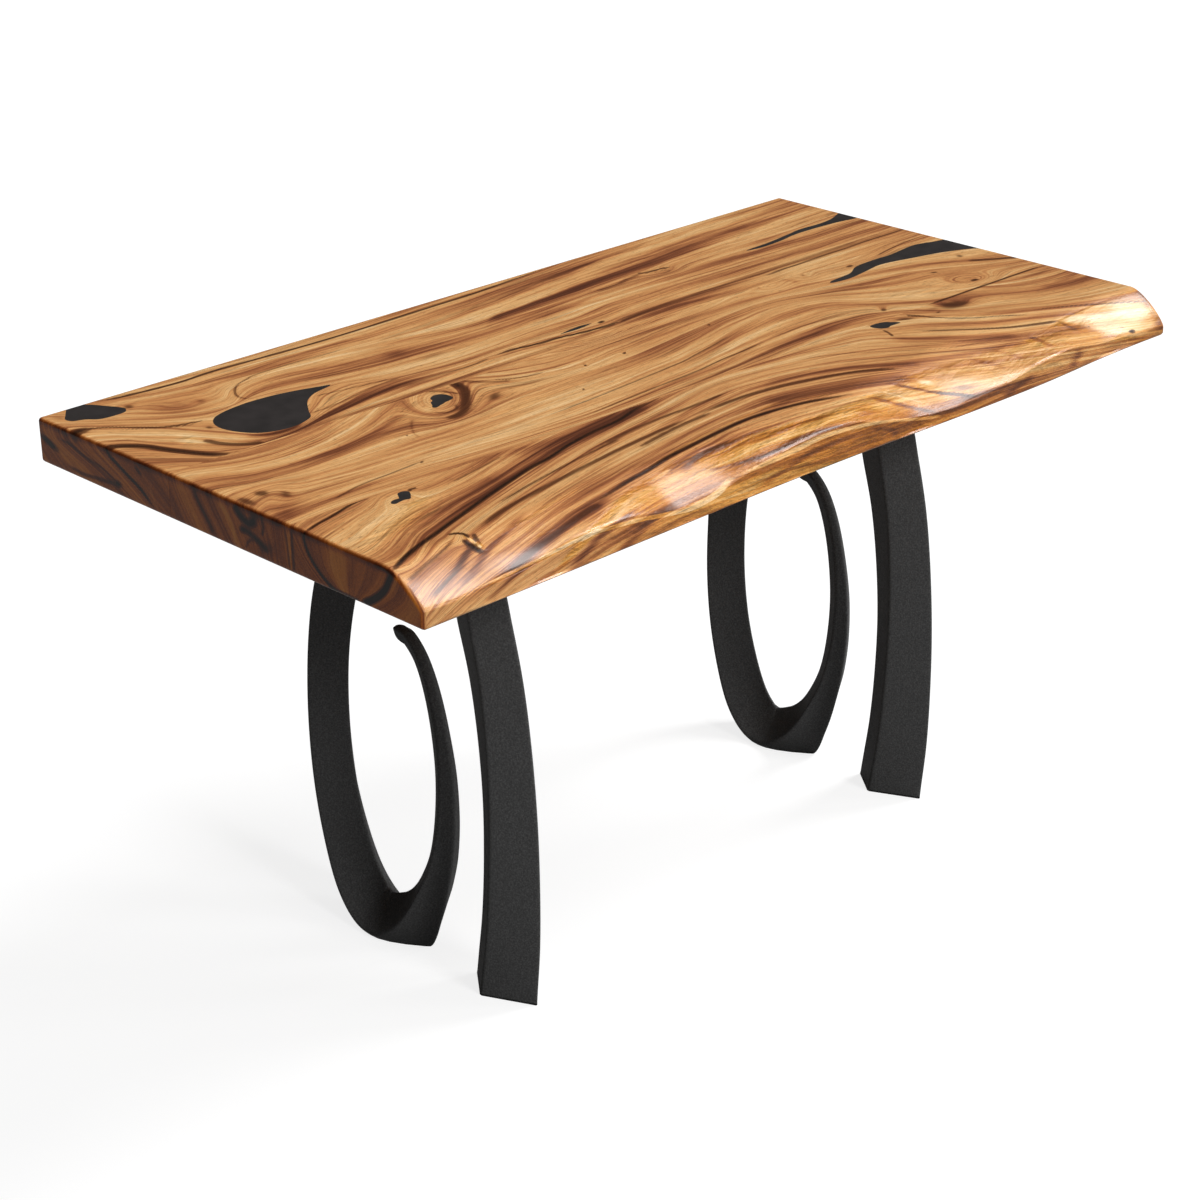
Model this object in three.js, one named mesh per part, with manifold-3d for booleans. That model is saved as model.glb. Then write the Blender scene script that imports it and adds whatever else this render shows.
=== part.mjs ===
// Dining-height table: a live-edge top of three glued boards with black resin fills,
// bolted to two cast legs, each one tapering stroke that curls into an open ring.
// Millimetres. +X runs along the top, -Y is the live edge, +Z is up, and the floor is z = 0.

import * as THREE from 'three';
import { mergeVertices } from 'three/addons/utils/BufferGeometryUtils.js';
import Module from 'manifold-3d';

// The whole table
const topLength = 1400;
const topWidth = 741;
const topThickness = 60;
const tableHeight = 754;
const legSpacing = 790;
const legSetBack = 2.5;

// The boards: each width is measured at the left end and at the right end of the top
const frontBoardWidth = { left: 233, right: 216 };
const backBoardWidth = { left: 277, right: 303 };
const glueLine = 0.3;
const arrisRadius = 6;
const arrisSteps = 3;

// The live edge: an upright face, then a slope that runs up to the top
const edgeRun = 130;
const edgeRound = 8;
const edgeWave = 10;
const edgeFootRound = 4;
const edgeStations = 36;
const edgeSlopeSteps = 6;

// The resin fills
const fillDepth = 30;
const knotFillDepth = 16;
const fillClearance = 0.3;
const fillOutlineSteps = 4;

// The cast legs: the stroke's reach across the table, its height up to the plate and its bar's width
const legReach = 400;
const barWidth = 100;
const barEdgeChamfer = 2.5;
const stepsPerStation = 3;
const tipCapSteps = 3;
const footPadThickness = 3;

// The mounting plates
const plateLength = 400;
const plateWidth = 96;
const plateThickness = 8;
const plateCornerRadius = 12;

// Bolts up into the top: two columns of three under each plate
const boltRadius = 4;
const boltGrip = 18;
const boltHeadRadius = 7;
const boltHeadHeight = 5;
const boltHexWidth = 5;
const boltHexDepth = 3;
const boltColumnSpacing = 64;
const boltRowSpacing = 175;
const boltRows = 3;

// Threaded inserts in the wood
const insertRadius = 6;
const insertLength = 22;
const insertFlangeRadius = 9;
const insertFlangeHeight = 2;

// Countersunk screws that hold the plate down on the leg's crown
const screwRadius = 4;
const screwLength = 26;
const screwHeadRadius = 8;
const screwHeadHeight = 4;
const screwSpacing = 40;
const screwCount = 3;

// Fits between separate pieces
const fitClearance = 0.3;
const cutOverrun = 5;
const roundSegments = 12;

// Places that several pieces share
const undersideZ = tableHeight - topThickness;
const plateBottomZ = undersideZ - plateThickness;
const legHeight = plateBottomZ;

const woodMaterial = new THREE.MeshStandardMaterial({ color: 0xa9713c, roughness: 0.45, metalness: 0 });
const resinMaterial = new THREE.MeshStandardMaterial({ color: 0x232220, roughness: 0.35, metalness: 0 });
const castMaterial = new THREE.MeshStandardMaterial({ color: 0x262626, roughness: 0.6, metalness: 0.3 });
const zincMaterial = new THREE.MeshStandardMaterial({ color: 0x9a9c9e, roughness: 0.35, metalness: 1 });
const brassMaterial = new THREE.MeshStandardMaterial({ color: 0xb0924e, roughness: 0.4, metalness: 1 });
const rubberMaterial = new THREE.MeshStandardMaterial({ color: 0x141414, roughness: 0.9, metalness: 0 });

const wasm = await Module();
wasm.setup();

// Solids, joins and cuts

function toSolid(geometry) {
  const bare = new THREE.BufferGeometry();
  bare.setAttribute('position', geometry.getAttribute('position').clone());
  if (geometry.index) bare.setIndex(geometry.index.clone());
  const welded = mergeVertices(bare);
  const vertProperties = new Float32Array(welded.getAttribute('position').array);
  const triVerts = new Uint32Array(welded.index.array);
  return new wasm.Manifold(new wasm.Mesh({ numProp: 3, vertProperties, triVerts }));
}

function toGeometry(solid) {
  const mesh = solid.getMesh();
  const geometry = new THREE.BufferGeometry();
  geometry.setAttribute('position', new THREE.BufferAttribute(new Float32Array(mesh.vertProperties), 3));
  geometry.setIndex(new THREE.BufferAttribute(new Uint32Array(mesh.triVerts), 1));
  geometry.computeVertexNormals();
  return geometry;
}

function joinAll(solids) {
  return solids.reduce((whole, next) => whole.add(next));
}

// A closed skin through rings of the same number of points, with fans over both ends
function loft(rings) {
  const count = rings[0].length;
  const positions = rings.flatMap((ring) => ring.flatMap((point) => point.toArray()));
  const index = [];
  for (let i = 0; i + 1 < rings.length; i += 1) {
    for (let j = 0; j < count; j += 1) {
      const a = i * count + j;
      const b = i * count + ((j + 1) % count);
      index.push(a, b, b + count, a, b + count, a + count);
    }
  }
  const last = (rings.length - 1) * count;
  for (let j = 1; j + 1 < count; j += 1) {
    index.push(0, j + 1, j);
    index.push(last, last + j, last + j + 1);
  }
  const geometry = new THREE.BufferGeometry();
  geometry.setAttribute('position', new THREE.Float32BufferAttribute(positions, 3));
  geometry.setIndex(index);
  return geometry;
}

// A block between two corners
function block(low, high) {
  const size = new THREE.Vector3().subVectors(high, low);
  const geometry = new THREE.BoxGeometry(size.x, size.y, size.z);
  const centre = new THREE.Vector3().addVectors(low, high).divideScalar(2);
  return toSolid(geometry.translate(centre.x, centre.y, centre.z));
}

// A plan outline pulled straight up from one height to another
function prism(shape, lowZ, highZ) {
  const geometry = new THREE.ExtrudeGeometry(shape, { depth: highZ - lowZ, bevelEnabled: false });
  return toSolid(geometry.translate(0, 0, lowZ));
}

// A turned piece about the upright line through x, y: its profile is [radius, height] from the axis back to it
function turned(profile, x, y) {
  const points = profile.map(([radius, height]) => new THREE.Vector2(radius, height));
  const geometry = new THREE.LatheGeometry(points, roundSegments);
  geometry.rotateX(Math.PI / 2);
  return toSolid(geometry.translate(x, y, 0));
}

function upright(radius, lowZ, highZ, x, y) {
  return turned([[0, lowZ], [radius, lowZ], [radius, highZ], [0, highZ]], x, y);
}

function named(name, solid, material) {
  const mesh = new THREE.Mesh(toGeometry(solid), material);
  mesh.name = name;
  return mesh;
}

// The top: one blank with rounded arrises, parted along two glue seams

function seamAt(width, fromEdge, x) {
  const along = x / topLength + 1 / 2;
  return fromEdge(THREE.MathUtils.lerp(width.left, width.right, along));
}

function frontSeamY(x) {
  return seamAt(frontBoardWidth, (width) => width - topWidth / 2, x);
}

function backSeamY(x) {
  return seamAt(backBoardWidth, (width) => topWidth / 2 - width, x);
}

function topBlank() {
  const endX = topLength / 2;
  const frontY = -topWidth / 2 - 2 * arrisRadius;
  const shape = new THREE.Shape();
  shape.moveTo(-endX, frontY);
  shape.lineTo(endX, frontY);
  shape.lineTo(endX, topWidth / 2);
  shape.lineTo(-endX, topWidth / 2);
  shape.closePath();
  const geometry = new THREE.ExtrudeGeometry(shape, {
    depth: topThickness - 2 * arrisRadius,
    bevelThickness: arrisRadius,
    bevelSize: arrisRadius,
    bevelOffset: -arrisRadius,
    bevelSegments: arrisSteps,
  });
  return toSolid(geometry.translate(0, 0, undersideZ + arrisRadius));
}

// A board with straight sides, given by its low and high side as functions of x
function straightBoard(lowY, highY) {
  const endX = topLength / 2 + cutOverrun;
  const shape = new THREE.Shape();
  shape.moveTo(-endX, lowY(-endX));
  shape.lineTo(endX, lowY(endX));
  shape.lineTo(endX, highY(endX));
  shape.lineTo(-endX, highY(-endX));
  shape.closePath();
  return prism(shape, undersideZ - cutOverrun, tableHeight + cutOverrun);
}

// The live edge along the top: [place, height of the upright face, run of the slope, how far the face is set back],
// as shares of the length, the thickness, edgeRun and edgeWave
const liveEdgeShares = [
  [-0.02, 0.40, 0.50, 0.50],
  [0.03, 0.36, 0.50, 0.50],
  [0.10, 0.46, 0.54, 0.55],
  [0.17, 0.63, 0.60, 0.60],
  [0.22, 0.62, 0.62, 0.70],
  [0.29, 0.38, 0.52, 0.80],
  [0.34, 0.42, 0.48, 0.90],
  [0.40, 0.66, 0.52, 1.00],
  [0.46, 0.80, 0.56, 1.00],
  [0.52, 0.76, 0.58, 0.90],
  [0.58, 0.46, 0.60, 0.65],
  [0.66, 0.28, 0.70, 0.25],
  [0.73, 0.36, 0.86, 0.05],
  [0.79, 0.56, 1.00, 0.00],
  [0.84, 0.60, 0.96, 0.20],
  [0.89, 0.40, 0.66, 0.50],
  [0.95, 0.30, 0.52, 0.60],
  [1.02, 0.16, 0.45, 0.40],
];

// One cross-section of the front board, from the seam along the underside, up the live edge and back
function frontBoardRing(x, faceHeight, run, setBack) {
  const seamY = frontSeamY(x) - glueLine / 2;
  const faceY = setBack - topWidth / 2;
  const lowZ = undersideZ - cutOverrun;
  const highZ = tableHeight;
  const foot = new THREE.QuadraticBezierCurve(
    new THREE.Vector2(faceY + edgeFootRound, undersideZ),
    new THREE.Vector2(faceY, undersideZ),
    new THREE.Vector2(faceY, undersideZ + edgeFootRound),
  );
  const slope = new THREE.CubicBezierCurve(
    new THREE.Vector2(faceY, undersideZ + faceHeight),
    new THREE.Vector2(faceY, undersideZ + faceHeight + edgeRound),
    new THREE.Vector2(faceY + run * 0.68, highZ),
    new THREE.Vector2(faceY + run, highZ),
  );
  const outline = [
    new THREE.Vector2(seamY, lowZ),
    new THREE.Vector2(faceY + edgeFootRound, lowZ),
    ...foot.getPoints(2),
    ...slope.getPoints(edgeSlopeSteps),
    new THREE.Vector2(faceY + run, highZ + cutOverrun),
    new THREE.Vector2(seamY, highZ + cutOverrun),
  ];
  return outline.map((point) => new THREE.Vector3(x, point.x, point.y));
}

function frontBoard() {
  const places = liveEdgeShares.map(([x, face, run]) => new THREE.Vector3(x, face, run));
  const setBacks = liveEdgeShares.map(([x, , , setBack]) => new THREE.Vector3(x, setBack, 0));
  const edge = new THREE.CatmullRomCurve3(places, false, 'catmullrom');
  const setBackLine = new THREE.CatmullRomCurve3(setBacks, false, 'catmullrom');
  const rings = [];
  for (let i = 0; i <= edgeStations; i += 1) {
    const share = edge.getPoint(i / edgeStations);
    const setBack = setBackLine.getPoint(i / edgeStations).y * edgeWave;
    const x = (share.x - 1 / 2) * topLength;
    rings.push(frontBoardRing(x, share.y * topThickness, share.z * edgeRun, setBack));
  }
  return toSolid(loft(rings.reverse()));
}

// The resin fills: each has its centre, from the middle of the top, and its size along X and Y, both as shares
// of the top's length and width, then its outline as shares of half that size
const fills = [
  {
    name: 'fill_back_corner', placeShares: [-0.4593, 0.4514], sizeShares: [0.0543, 0.0972], depth: fillDepth,
    outlineShares: [
      [-0.42, 0.88], [-0.76, 0.4], [-0.99, 0.03], [-0.91, -0.24], [-0.51, -0.44], [-0.17, -0.76], [0.37, -0.85],
      [0.87, -0.78], [1.04, -0.49], [0.96, -0.22], [0.76, 0.14], [0.53, 0.56], [0.33, 0.85], [0.13, 1.15],
      [-0.24, 1.15],
    ],
  },
  {
    name: 'fill_back_pool', placeShares: [-0.3321, 0.226], sizeShares: [0.1414, 0.1592], depth: fillDepth,
    outlineShares: [
      [-0.99, 0.1], [-0.8, 0.68], [-0.3, 0.9], [0.3, 0.85], [0.82, 0.61], [1.0, 0.49],
      [0.64, 0.31], [0.42, 0.07], [0.18, -0.46], [0.03, -0.81], [-0.35, -0.98], [-0.74, -0.78],
    ],
  },
  {
    name: 'fill_back_end', placeShares: [0.4107, 0.2895], sizeShares: [0.1857, 0.0675], depth: fillDepth,
    outlineShares: [
      [-0.98, -0.18], [-0.56, -0.02], [-0.15, 0.28], [0.08, 0.46], [0.45, 0.4], [0.65, 0.54], [0.92, 1.06],
      [1.08, 1.4], [1.08, -0.5], [0.92, -0.48], [0.57, -0.18], [-0.07, -0.06], [-0.47, -0.36], [-0.8, -0.42],
    ],
  },
  {
    name: 'fill_middle_end', placeShares: [0.4, 0.0101], sizeShares: [0.2086, 0.1026], depth: fillDepth,
    outlineShares: [
      [-1.0, 0.14], [-0.96, 0.3], [-0.65, 0.42], [-0.4, 0.84], [-0.09, 0.91], [0.12, 0.87], [0.55, 1.04],
      [0.79, 0.79], [1.06, 0.46], [1.06, -1.38], [0.82, -0.83], [0.55, -0.39], [0.22, -0.05], [-0.21, 0.3],
      [-0.5, 0.14], [-0.78, 0.01],
    ],
  },
  {
    name: 'fill_back_crack', placeShares: [0.0107, 0.1754], sizeShares: [0.0457, 0.0121], depth: knotFillDepth,
    outlineShares: [
      [-1.0, -0.1], [-0.72, 0.2], [-0.39, 0.68], [0.0, 1.0], [0.34, 1.1], [0.72, 0.78], [0.97, 0.33],
      [0.78, 0.0], [0.53, -0.33], [0.0, -0.7], [-0.56, -0.55],
    ],
  },
  {
    name: 'fill_middle_knot', placeShares: [-0.2171, 0.0722], sizeShares: [0.0343, 0.0567], depth: knotFillDepth,
    outlineShares: [
      [0.2, 0.76], [0.6, 0.6], [0.76, 0.12], [0.68, -0.4], [0.29, -0.6], [-0.09, -0.67], [-0.57, -0.85],
      [-0.96, -0.98], [-1.09, -0.83], [-0.88, -0.5], [-0.65, -0.07], [-0.42, 0.1], [-0.25, 0.5],
    ],
  },
  {
    name: 'fill_front_knot', placeShares: [-0.3971, -0.2206], sizeShares: [0.0257, 0.0351], depth: knotFillDepth,
    outlineShares: [
      [-1.17, -0.73], [-1.0, -0.31], [-0.62, -0.12], [-0.26, -0.19], [-0.06, 0.19], [0.27, 0.81], [0.69, 0.88],
      [0.99, 0.5], [0.83, -0.04], [0.55, -0.54], [0.24, -0.96], [-0.2, -0.81], [-0.62, -0.88], [-0.98, -0.96],
    ],
  },
  {
    name: 'fill_front_seam', placeShares: [0.226, -0.2227], sizeShares: [0.0371, 0.0297], depth: knotFillDepth,
    outlineShares: [
      [-0.67, 0.55], [-0.55, 1.05], [-0.25, 1.14], [0.14, 1.05], [0.52, 0.73], [0.72, 0.18], [0.95, -0.36],
      [0.98, -0.82], [0.64, -0.82], [0.22, -0.77], [-0.09, -1.0], [-0.4, -0.73], [-0.59, -0.18],
    ],
  },
];

// A fill's plan outline, drawn in by a clearance all round
function fillShape(fill, clearance) {
  const [along, across] = fill.placeShares;
  const [length, width] = fill.sizeShares;
  const points = fill.outlineShares.map(([x, y]) => (
    new THREE.Vector3((along + x * length / 2) * topLength, (across + y * width / 2) * topWidth, 0)
  ));
  const curve = new THREE.CatmullRomCurve3(points, true, 'centripetal');
  const turn = Math.sign(THREE.ShapeUtils.area(points));
  const steps = points.length * fillOutlineSteps;
  const outline = Array.from({ length: steps }, (_, i) => {
    const tangent = curve.getTangent(i / steps);
    const inward = new THREE.Vector3(-tangent.y, tangent.x, 0).multiplyScalar(turn * clearance);
    return curve.getPoint(i / steps).add(inward);
  });
  return new THREE.Shape(outline.map((point) => new THREE.Vector2(point.x, point.y)));
}

function fillPocket(fill) {
  return prism(fillShape(fill, 0), tableHeight - fill.depth, tableHeight + cutOverrun);
}

function fillBody(fill, blank) {
  const body = prism(fillShape(fill, fillClearance), tableHeight - fill.depth, tableHeight + cutOverrun);
  return body.intersect(blank);
}

// The leg: one stroke that starts at a thin free tip, runs down and round the foot of the ring, up its back,
// over the crown under the plate and down the bow. Each station is [across, height, inner, outer, side]:
// the place of the side ridges as shares of legReach and legHeight, then how far the inner edge, the outer
// edge and the side ridges stand off that line, as shares of barWidth.
const strokeShares = [
  [0.093, 0.680, 0.222, 0.036, 0.090],
  [0.047, 0.673, 0.230, 0.045, 0.098],
  [-0.013, 0.636, 0.230, 0.052, 0.102],
  [-0.060, 0.575, 0.240, 0.062, 0.113],
  [-0.094, 0.492, 0.250, 0.078, 0.133],
  [-0.111, 0.398, 0.260, 0.105, 0.173],
  [-0.104, 0.301, 0.270, 0.133, 0.219],
  [-0.075, 0.213, 0.270, 0.165, 0.276],
  [-0.028, 0.145, 0.280, 0.247, 0.352],
  [0.023, 0.089, 0.330, 0.332, 0.419],
  [0.089, 0.044, 0.410, 0.472, 0.457],
  [0.179, 0.013, 0.480, 0.512, 0.468],
  [0.281, 0.019, 0.520, 0.432, 0.452],
  [0.373, 0.070, 0.540, 0.342, 0.424],
  [0.440, 0.161, 0.530, 0.312, 0.390],
  [0.488, 0.279, 0.510, 0.299, 0.360],
  [0.506, 0.415, 0.490, 0.304, 0.341],
  [0.492, 0.559, 0.480, 0.312, 0.333],
  [0.446, 0.697, 0.490, 0.323, 0.335],
  [0.370, 0.814, 0.490, 0.340, 0.334],
  [0.254, 0.906, 0.500, 0.361, 0.333],
  [0.103, 0.958, 0.520, 0.384, 0.331],
  [-0.064, 0.964, 0.540, 0.406, 0.327],
  [-0.205, 0.927, 0.570, 0.427, 0.323],
  [-0.290, 0.860, 0.600, 0.447, 0.318],
  [-0.332, 0.768, 0.620, 0.468, 0.316],
  [-0.372, 0.657, 0.580, 0.487, 0.322],
  [-0.395, 0.533, 0.540, 0.512, 0.334],
  [-0.402, 0.400, 0.500, 0.556, 0.348],
  [-0.394, 0.268, 0.480, 0.608, 0.358],
  [-0.376, 0.144, 0.470, 0.661, 0.362],
  [-0.347, 0.035, 0.460, 0.711, 0.362],
  [-0.322, -0.056, 0.450, 0.759, 0.363],
];

// The four-sided section about a point of the stroke, with chamfered corners; normal points to the inside
function barRing(centre, normal, inner, outer, side) {
  const across = new THREE.Vector3(1, 0, 0);
  const corners = [
    normal.clone().multiplyScalar(inner),
    across.clone().multiplyScalar(side),
    normal.clone().multiplyScalar(-outer),
    across.clone().multiplyScalar(-side),
  ];
  return corners.flatMap((corner, i) => {
    const before = corners[(i + 3) % 4];
    const after = corners[(i + 1) % 4];
    const shortest = Math.min(corner.distanceTo(before), corner.distanceTo(after));
    const cut = Math.min(barEdgeChamfer, shortest / 3);
    const start = corner.clone().lerp(before, cut / corner.distanceTo(before));
    const end = corner.clone().lerp(after, cut / corner.distanceTo(after));
    return [start.add(centre), end.add(centre)];
  });
}

function strokeRings() {
  const line = strokeShares.map(([y, z]) => new THREE.Vector3(0, y * legReach, z * legHeight));
  const sizes = strokeShares.map(([, , ...offsets]) => new THREE.Vector3(...offsets).multiplyScalar(barWidth));
  const lineCurve = new THREE.CatmullRomCurve3(line, false, 'catmullrom');
  const sizeCurve = new THREE.CatmullRomCurve3(sizes, false, 'catmullrom');
  const steps = (strokeShares.length - 1) * stepsPerStation;
  const ringAt = (t, back, scale) => {
    const tangent = lineCurve.getTangent(t);
    const normal = new THREE.Vector3(0, -tangent.z, tangent.y);
    const size = sizeCurve.getPoint(t);
    const centring = (1 - scale) * (size.x - size.y) / 2;
    const centre = lineCurve.getPoint(t).addScaledVector(tangent, -back).addScaledVector(normal, centring);
    return barRing(centre, normal, size.x * scale, size.y * scale, size.z * scale);
  };
  const tipRadius = (sizes[0].x + sizes[0].y) / 2;
  const rings = [];
  for (let i = tipCapSteps; i > 0; i -= 1) {
    const turn = (i / (tipCapSteps + 1 / 2)) * (Math.PI / 2);
    rings.push(ringAt(0, tipRadius * Math.sin(turn), Math.cos(turn)));
  }
  for (let i = 0; i <= steps; i += 1) rings.push(ringAt(i / steps, 0, 1));
  return rings;
}

function screwPlaces() {
  return Array.from({ length: screwCount }, (_, i) => (i - (screwCount - 1) / 2) * screwSpacing);
}

function boltPlaces() {
  const places = [];
  for (const side of [-1, 1]) {
    for (let row = 0; row < boltRows; row += 1) {
      places.push([side * boltColumnSpacing / 2, (row - (boltRows - 1) / 2) * boltRowSpacing]);
    }
  }
  return places;
}

// A slab that covers the leg in plan between two heights
function legSlab(lowZ, highZ) {
  return block(new THREE.Vector3(-barWidth, -legReach, lowZ), new THREE.Vector3(barWidth, legReach, highZ));
}

function castLeg(stroke) {
  const body = stroke.intersect(legSlab(footPadThickness, plateBottomZ));
  const holes = screwPlaces().map((y) => {
    const holeZ = undersideZ - screwLength - fitClearance;
    return upright(screwRadius + fitClearance, holeZ, plateBottomZ + cutOverrun, 0, y);
  });
  return body.subtract(joinAll(holes));
}

// The pads under the bow's foot and the ring's foot, front one first, cut to the outline of the casting
function footPads(stroke) {
  const pads = stroke.intersect(legSlab(0, footPadThickness)).decompose();
  return pads.sort((a, b) => a.boundingBox().min[1] - b.boundingBox().min[1]);
}

// The plate, its bolts, inserts and screws

function mountingPlate() {
  const x = plateWidth / 2;
  const y = plateLength / 2;
  const r = plateCornerRadius;
  const shape = new THREE.Shape();
  shape.moveTo(r - x, -y);
  shape.lineTo(x - r, -y);
  shape.absarc(x - r, r - y, r, -Math.PI / 2, 0);
  shape.absarc(x - r, y - r, r, 0, Math.PI / 2);
  shape.absarc(r - x, y - r, r, Math.PI / 2, Math.PI);
  shape.absarc(r - x, r - y, r, Math.PI, 3 * Math.PI / 2);
  const geometry = new THREE.ExtrudeGeometry(shape, {
    depth: plateThickness, bevelEnabled: false, curveSegments: roundSegments / 4,
  });
  const plate = toSolid(geometry.translate(0, 0, plateBottomZ));
  const boltHoles = boltPlaces().map(([bx, by]) => (
    upright(boltRadius + fitClearance, plateBottomZ - cutOverrun, undersideZ + cutOverrun, bx, by)
  ));
  const screwHoles = screwPlaces().map((sy) => turned([
    [0, plateBottomZ - cutOverrun],
    [screwRadius + fitClearance, plateBottomZ - cutOverrun],
    [screwRadius + fitClearance, undersideZ - screwHeadHeight],
    [screwHeadRadius + fitClearance, undersideZ],
    [screwHeadRadius + fitClearance, undersideZ + cutOverrun],
    [0, undersideZ + cutOverrun],
  ], 0, sy));
  return plate.subtract(joinAll([...boltHoles, ...screwHoles]));
}

// A prism of six sides for a hexagon key
function hexSocket(width, lowZ, highZ, x, y) {
  const geometry = new THREE.CylinderGeometry(width / Math.sqrt(3), width / Math.sqrt(3), highZ - lowZ, 6);
  geometry.rotateX(Math.PI / 2);
  return toSolid(geometry.translate(x, y, (lowZ + highZ) / 2));
}

function bolt(x, y) {
  const headZ = plateBottomZ - boltHeadHeight;
  const body = turned([
    [0, headZ],
    [boltHeadRadius * 0.7, headZ],
    [boltHeadRadius, plateBottomZ - boltHeadHeight / 2],
    [boltHeadRadius, plateBottomZ],
    [boltRadius, plateBottomZ],
    [boltRadius, undersideZ + boltGrip],
    [0, undersideZ + boltGrip],
  ], x, y);
  return body.subtract(hexSocket(boltHexWidth, headZ - cutOverrun, headZ + boltHexDepth, x, y));
}

function threadedInsert(x, y) {
  const topOfInsert = undersideZ + insertLength;
  return turned([
    [boltRadius + fitClearance, undersideZ],
    [insertFlangeRadius, undersideZ],
    [insertFlangeRadius, undersideZ + insertFlangeHeight],
    [insertRadius, undersideZ + insertFlangeHeight],
    [insertRadius, topOfInsert],
    [boltRadius + fitClearance, topOfInsert],
    [boltRadius + fitClearance, undersideZ],
  ], x, y);
}

function insertPocket(x, y) {
  const flange = insertFlangeRadius + fitClearance;
  const bore = insertRadius + fitClearance;
  return turned([
    [0, undersideZ - cutOverrun],
    [flange, undersideZ - cutOverrun],
    [flange, undersideZ + insertFlangeHeight + fitClearance],
    [bore, undersideZ + insertFlangeHeight + fitClearance],
    [bore, undersideZ + insertLength + fitClearance],
    [0, undersideZ + insertLength + fitClearance],
  ], x, y);
}

function legScrew(y) {
  const body = turned([
    [0, undersideZ - screwLength],
    [screwRadius, undersideZ - screwLength],
    [screwRadius, undersideZ - screwHeadHeight],
    [screwHeadRadius, undersideZ],
    [0, undersideZ],
  ], 0, y);
  return body.subtract(hexSocket(boltHexWidth, undersideZ - boltHexDepth, undersideZ + cutOverrun, 0, y));
}

// Assembly

const table = new THREE.Group();

const unitPlaces = [['left', -legSpacing / 2], ['right', legSpacing / 2]];

function addTop() {
  const blank = topBlank();
  const pockets = joinAll([
    ...fills.map(fillPocket),
    ...unitPlaces.flatMap(([, unitX]) => boltPlaces().map(([x, y]) => insertPocket(unitX + x, legSetBack + y))),
  ]);
  const outerY = () => topWidth / 2 + cutOverrun;
  const boards = {
    front_board: frontBoard(),
    middle_board: straightBoard((x) => frontSeamY(x) + glueLine / 2, (x) => backSeamY(x) - glueLine / 2),
    back_board: straightBoard((x) => backSeamY(x) + glueLine / 2, outerY),
  };
  for (const [name, board] of Object.entries(boards)) {
    table.add(named(name, board.intersect(blank).subtract(pockets), woodMaterial));
  }
  for (const fill of fills) table.add(named(fill.name, fillBody(fill, blank), resinMaterial));
}

function addLegUnits() {
  const stroke = toSolid(loft(strokeRings()));
  const leg = castLeg(stroke);
  const pads = footPads(stroke);
  for (const [side, unitX] of unitPlaces) {
    const unit = new THREE.Group();
    unit.position.set(unitX, legSetBack, 0);
    unit.add(named(`leg_${side}`, leg, castMaterial));
    unit.add(named(`mounting_plate_${side}`, mountingPlate(), castMaterial));
    pads.forEach((pad, i) => unit.add(named(`foot_pad_${side}_${i === 0 ? 'bow' : 'ring'}`, pad, rubberMaterial)));
    boltPlaces().forEach(([x, y], i) => {
      unit.add(named(`bolt_${side}_${i + 1}`, bolt(x, y), zincMaterial));
      unit.add(named(`insert_${side}_${i + 1}`, threadedInsert(x, y), brassMaterial));
    });
    screwPlaces().forEach((y, i) => unit.add(named(`leg_screw_${side}_${i + 1}`, legScrew(y), zincMaterial)));
    table.add(unit);
  }
}

addTop();
addLegUnits();

export default table;
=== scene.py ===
"""Dining table: a live-edge top of three glued boards with dark resin fills, on two cast legs, each one
tapering stroke that curls into an open ring. Metres in Blender; the tables below are in millimetres.
+X runs along the top, -Y is the live edge, +Z is up, and the floor is z = 0."""

import math

import bmesh
import bpy
import numpy as np
from bpy.props import FloatProperty, FloatVectorProperty, IntProperty, PointerProperty
from mathutils import Matrix, Vector


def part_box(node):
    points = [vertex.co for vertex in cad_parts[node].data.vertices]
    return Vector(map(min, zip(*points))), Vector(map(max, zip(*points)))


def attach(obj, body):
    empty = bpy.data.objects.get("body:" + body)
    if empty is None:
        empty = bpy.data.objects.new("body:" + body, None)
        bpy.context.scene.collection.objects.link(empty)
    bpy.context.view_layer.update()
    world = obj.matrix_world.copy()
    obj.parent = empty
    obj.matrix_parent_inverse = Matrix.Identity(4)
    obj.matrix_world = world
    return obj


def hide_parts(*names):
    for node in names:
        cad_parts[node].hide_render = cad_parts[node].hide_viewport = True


bl_info = {
    "name": "Live-edge table",
    "version": (1, 0, 0),
    "blender": (4, 5, 0),
    "location": "View3D > Sidebar > Table",
    "description": "Builds the looks of a live-edge table on two curled cast legs around its packed frame",
    "category": "Add Mesh",
}

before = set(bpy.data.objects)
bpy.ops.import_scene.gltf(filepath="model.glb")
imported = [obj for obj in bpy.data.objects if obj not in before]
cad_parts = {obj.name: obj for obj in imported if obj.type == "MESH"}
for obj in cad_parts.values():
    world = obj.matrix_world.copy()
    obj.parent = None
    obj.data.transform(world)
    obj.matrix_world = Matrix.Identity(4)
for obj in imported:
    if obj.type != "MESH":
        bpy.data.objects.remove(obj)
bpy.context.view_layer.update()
MM = 0.001

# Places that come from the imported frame
LEG_SIDES = ("left", "right")
LEG_X = {side: sum(corner.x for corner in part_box(f"leg_{side}")) / 2 for side in LEG_SIDES}
PLATE_LOW, PLATE_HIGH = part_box("mounting_plate_left")
LEG_Y = (PLATE_LOW.y + PLATE_HIGH.y) / 2
BACK_LOW, BACK_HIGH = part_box("back_board")
UNDERSIDE_Z, TOP_Z = BACK_LOW.z, BACK_HIGH.z
END_X = BACK_HIGH.x
BACK_Y = BACK_HIGH.y

# Edges with a sharper angle than these stay sharp when a piece is shaded smooth, and points closer than WELD,
# in metres, become one
PRISM_SHARP = math.radians(30)
BOARD_SHARP = math.radians(40)
LEG_SHARP = math.radians(48)
WELD = 1e-6

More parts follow.
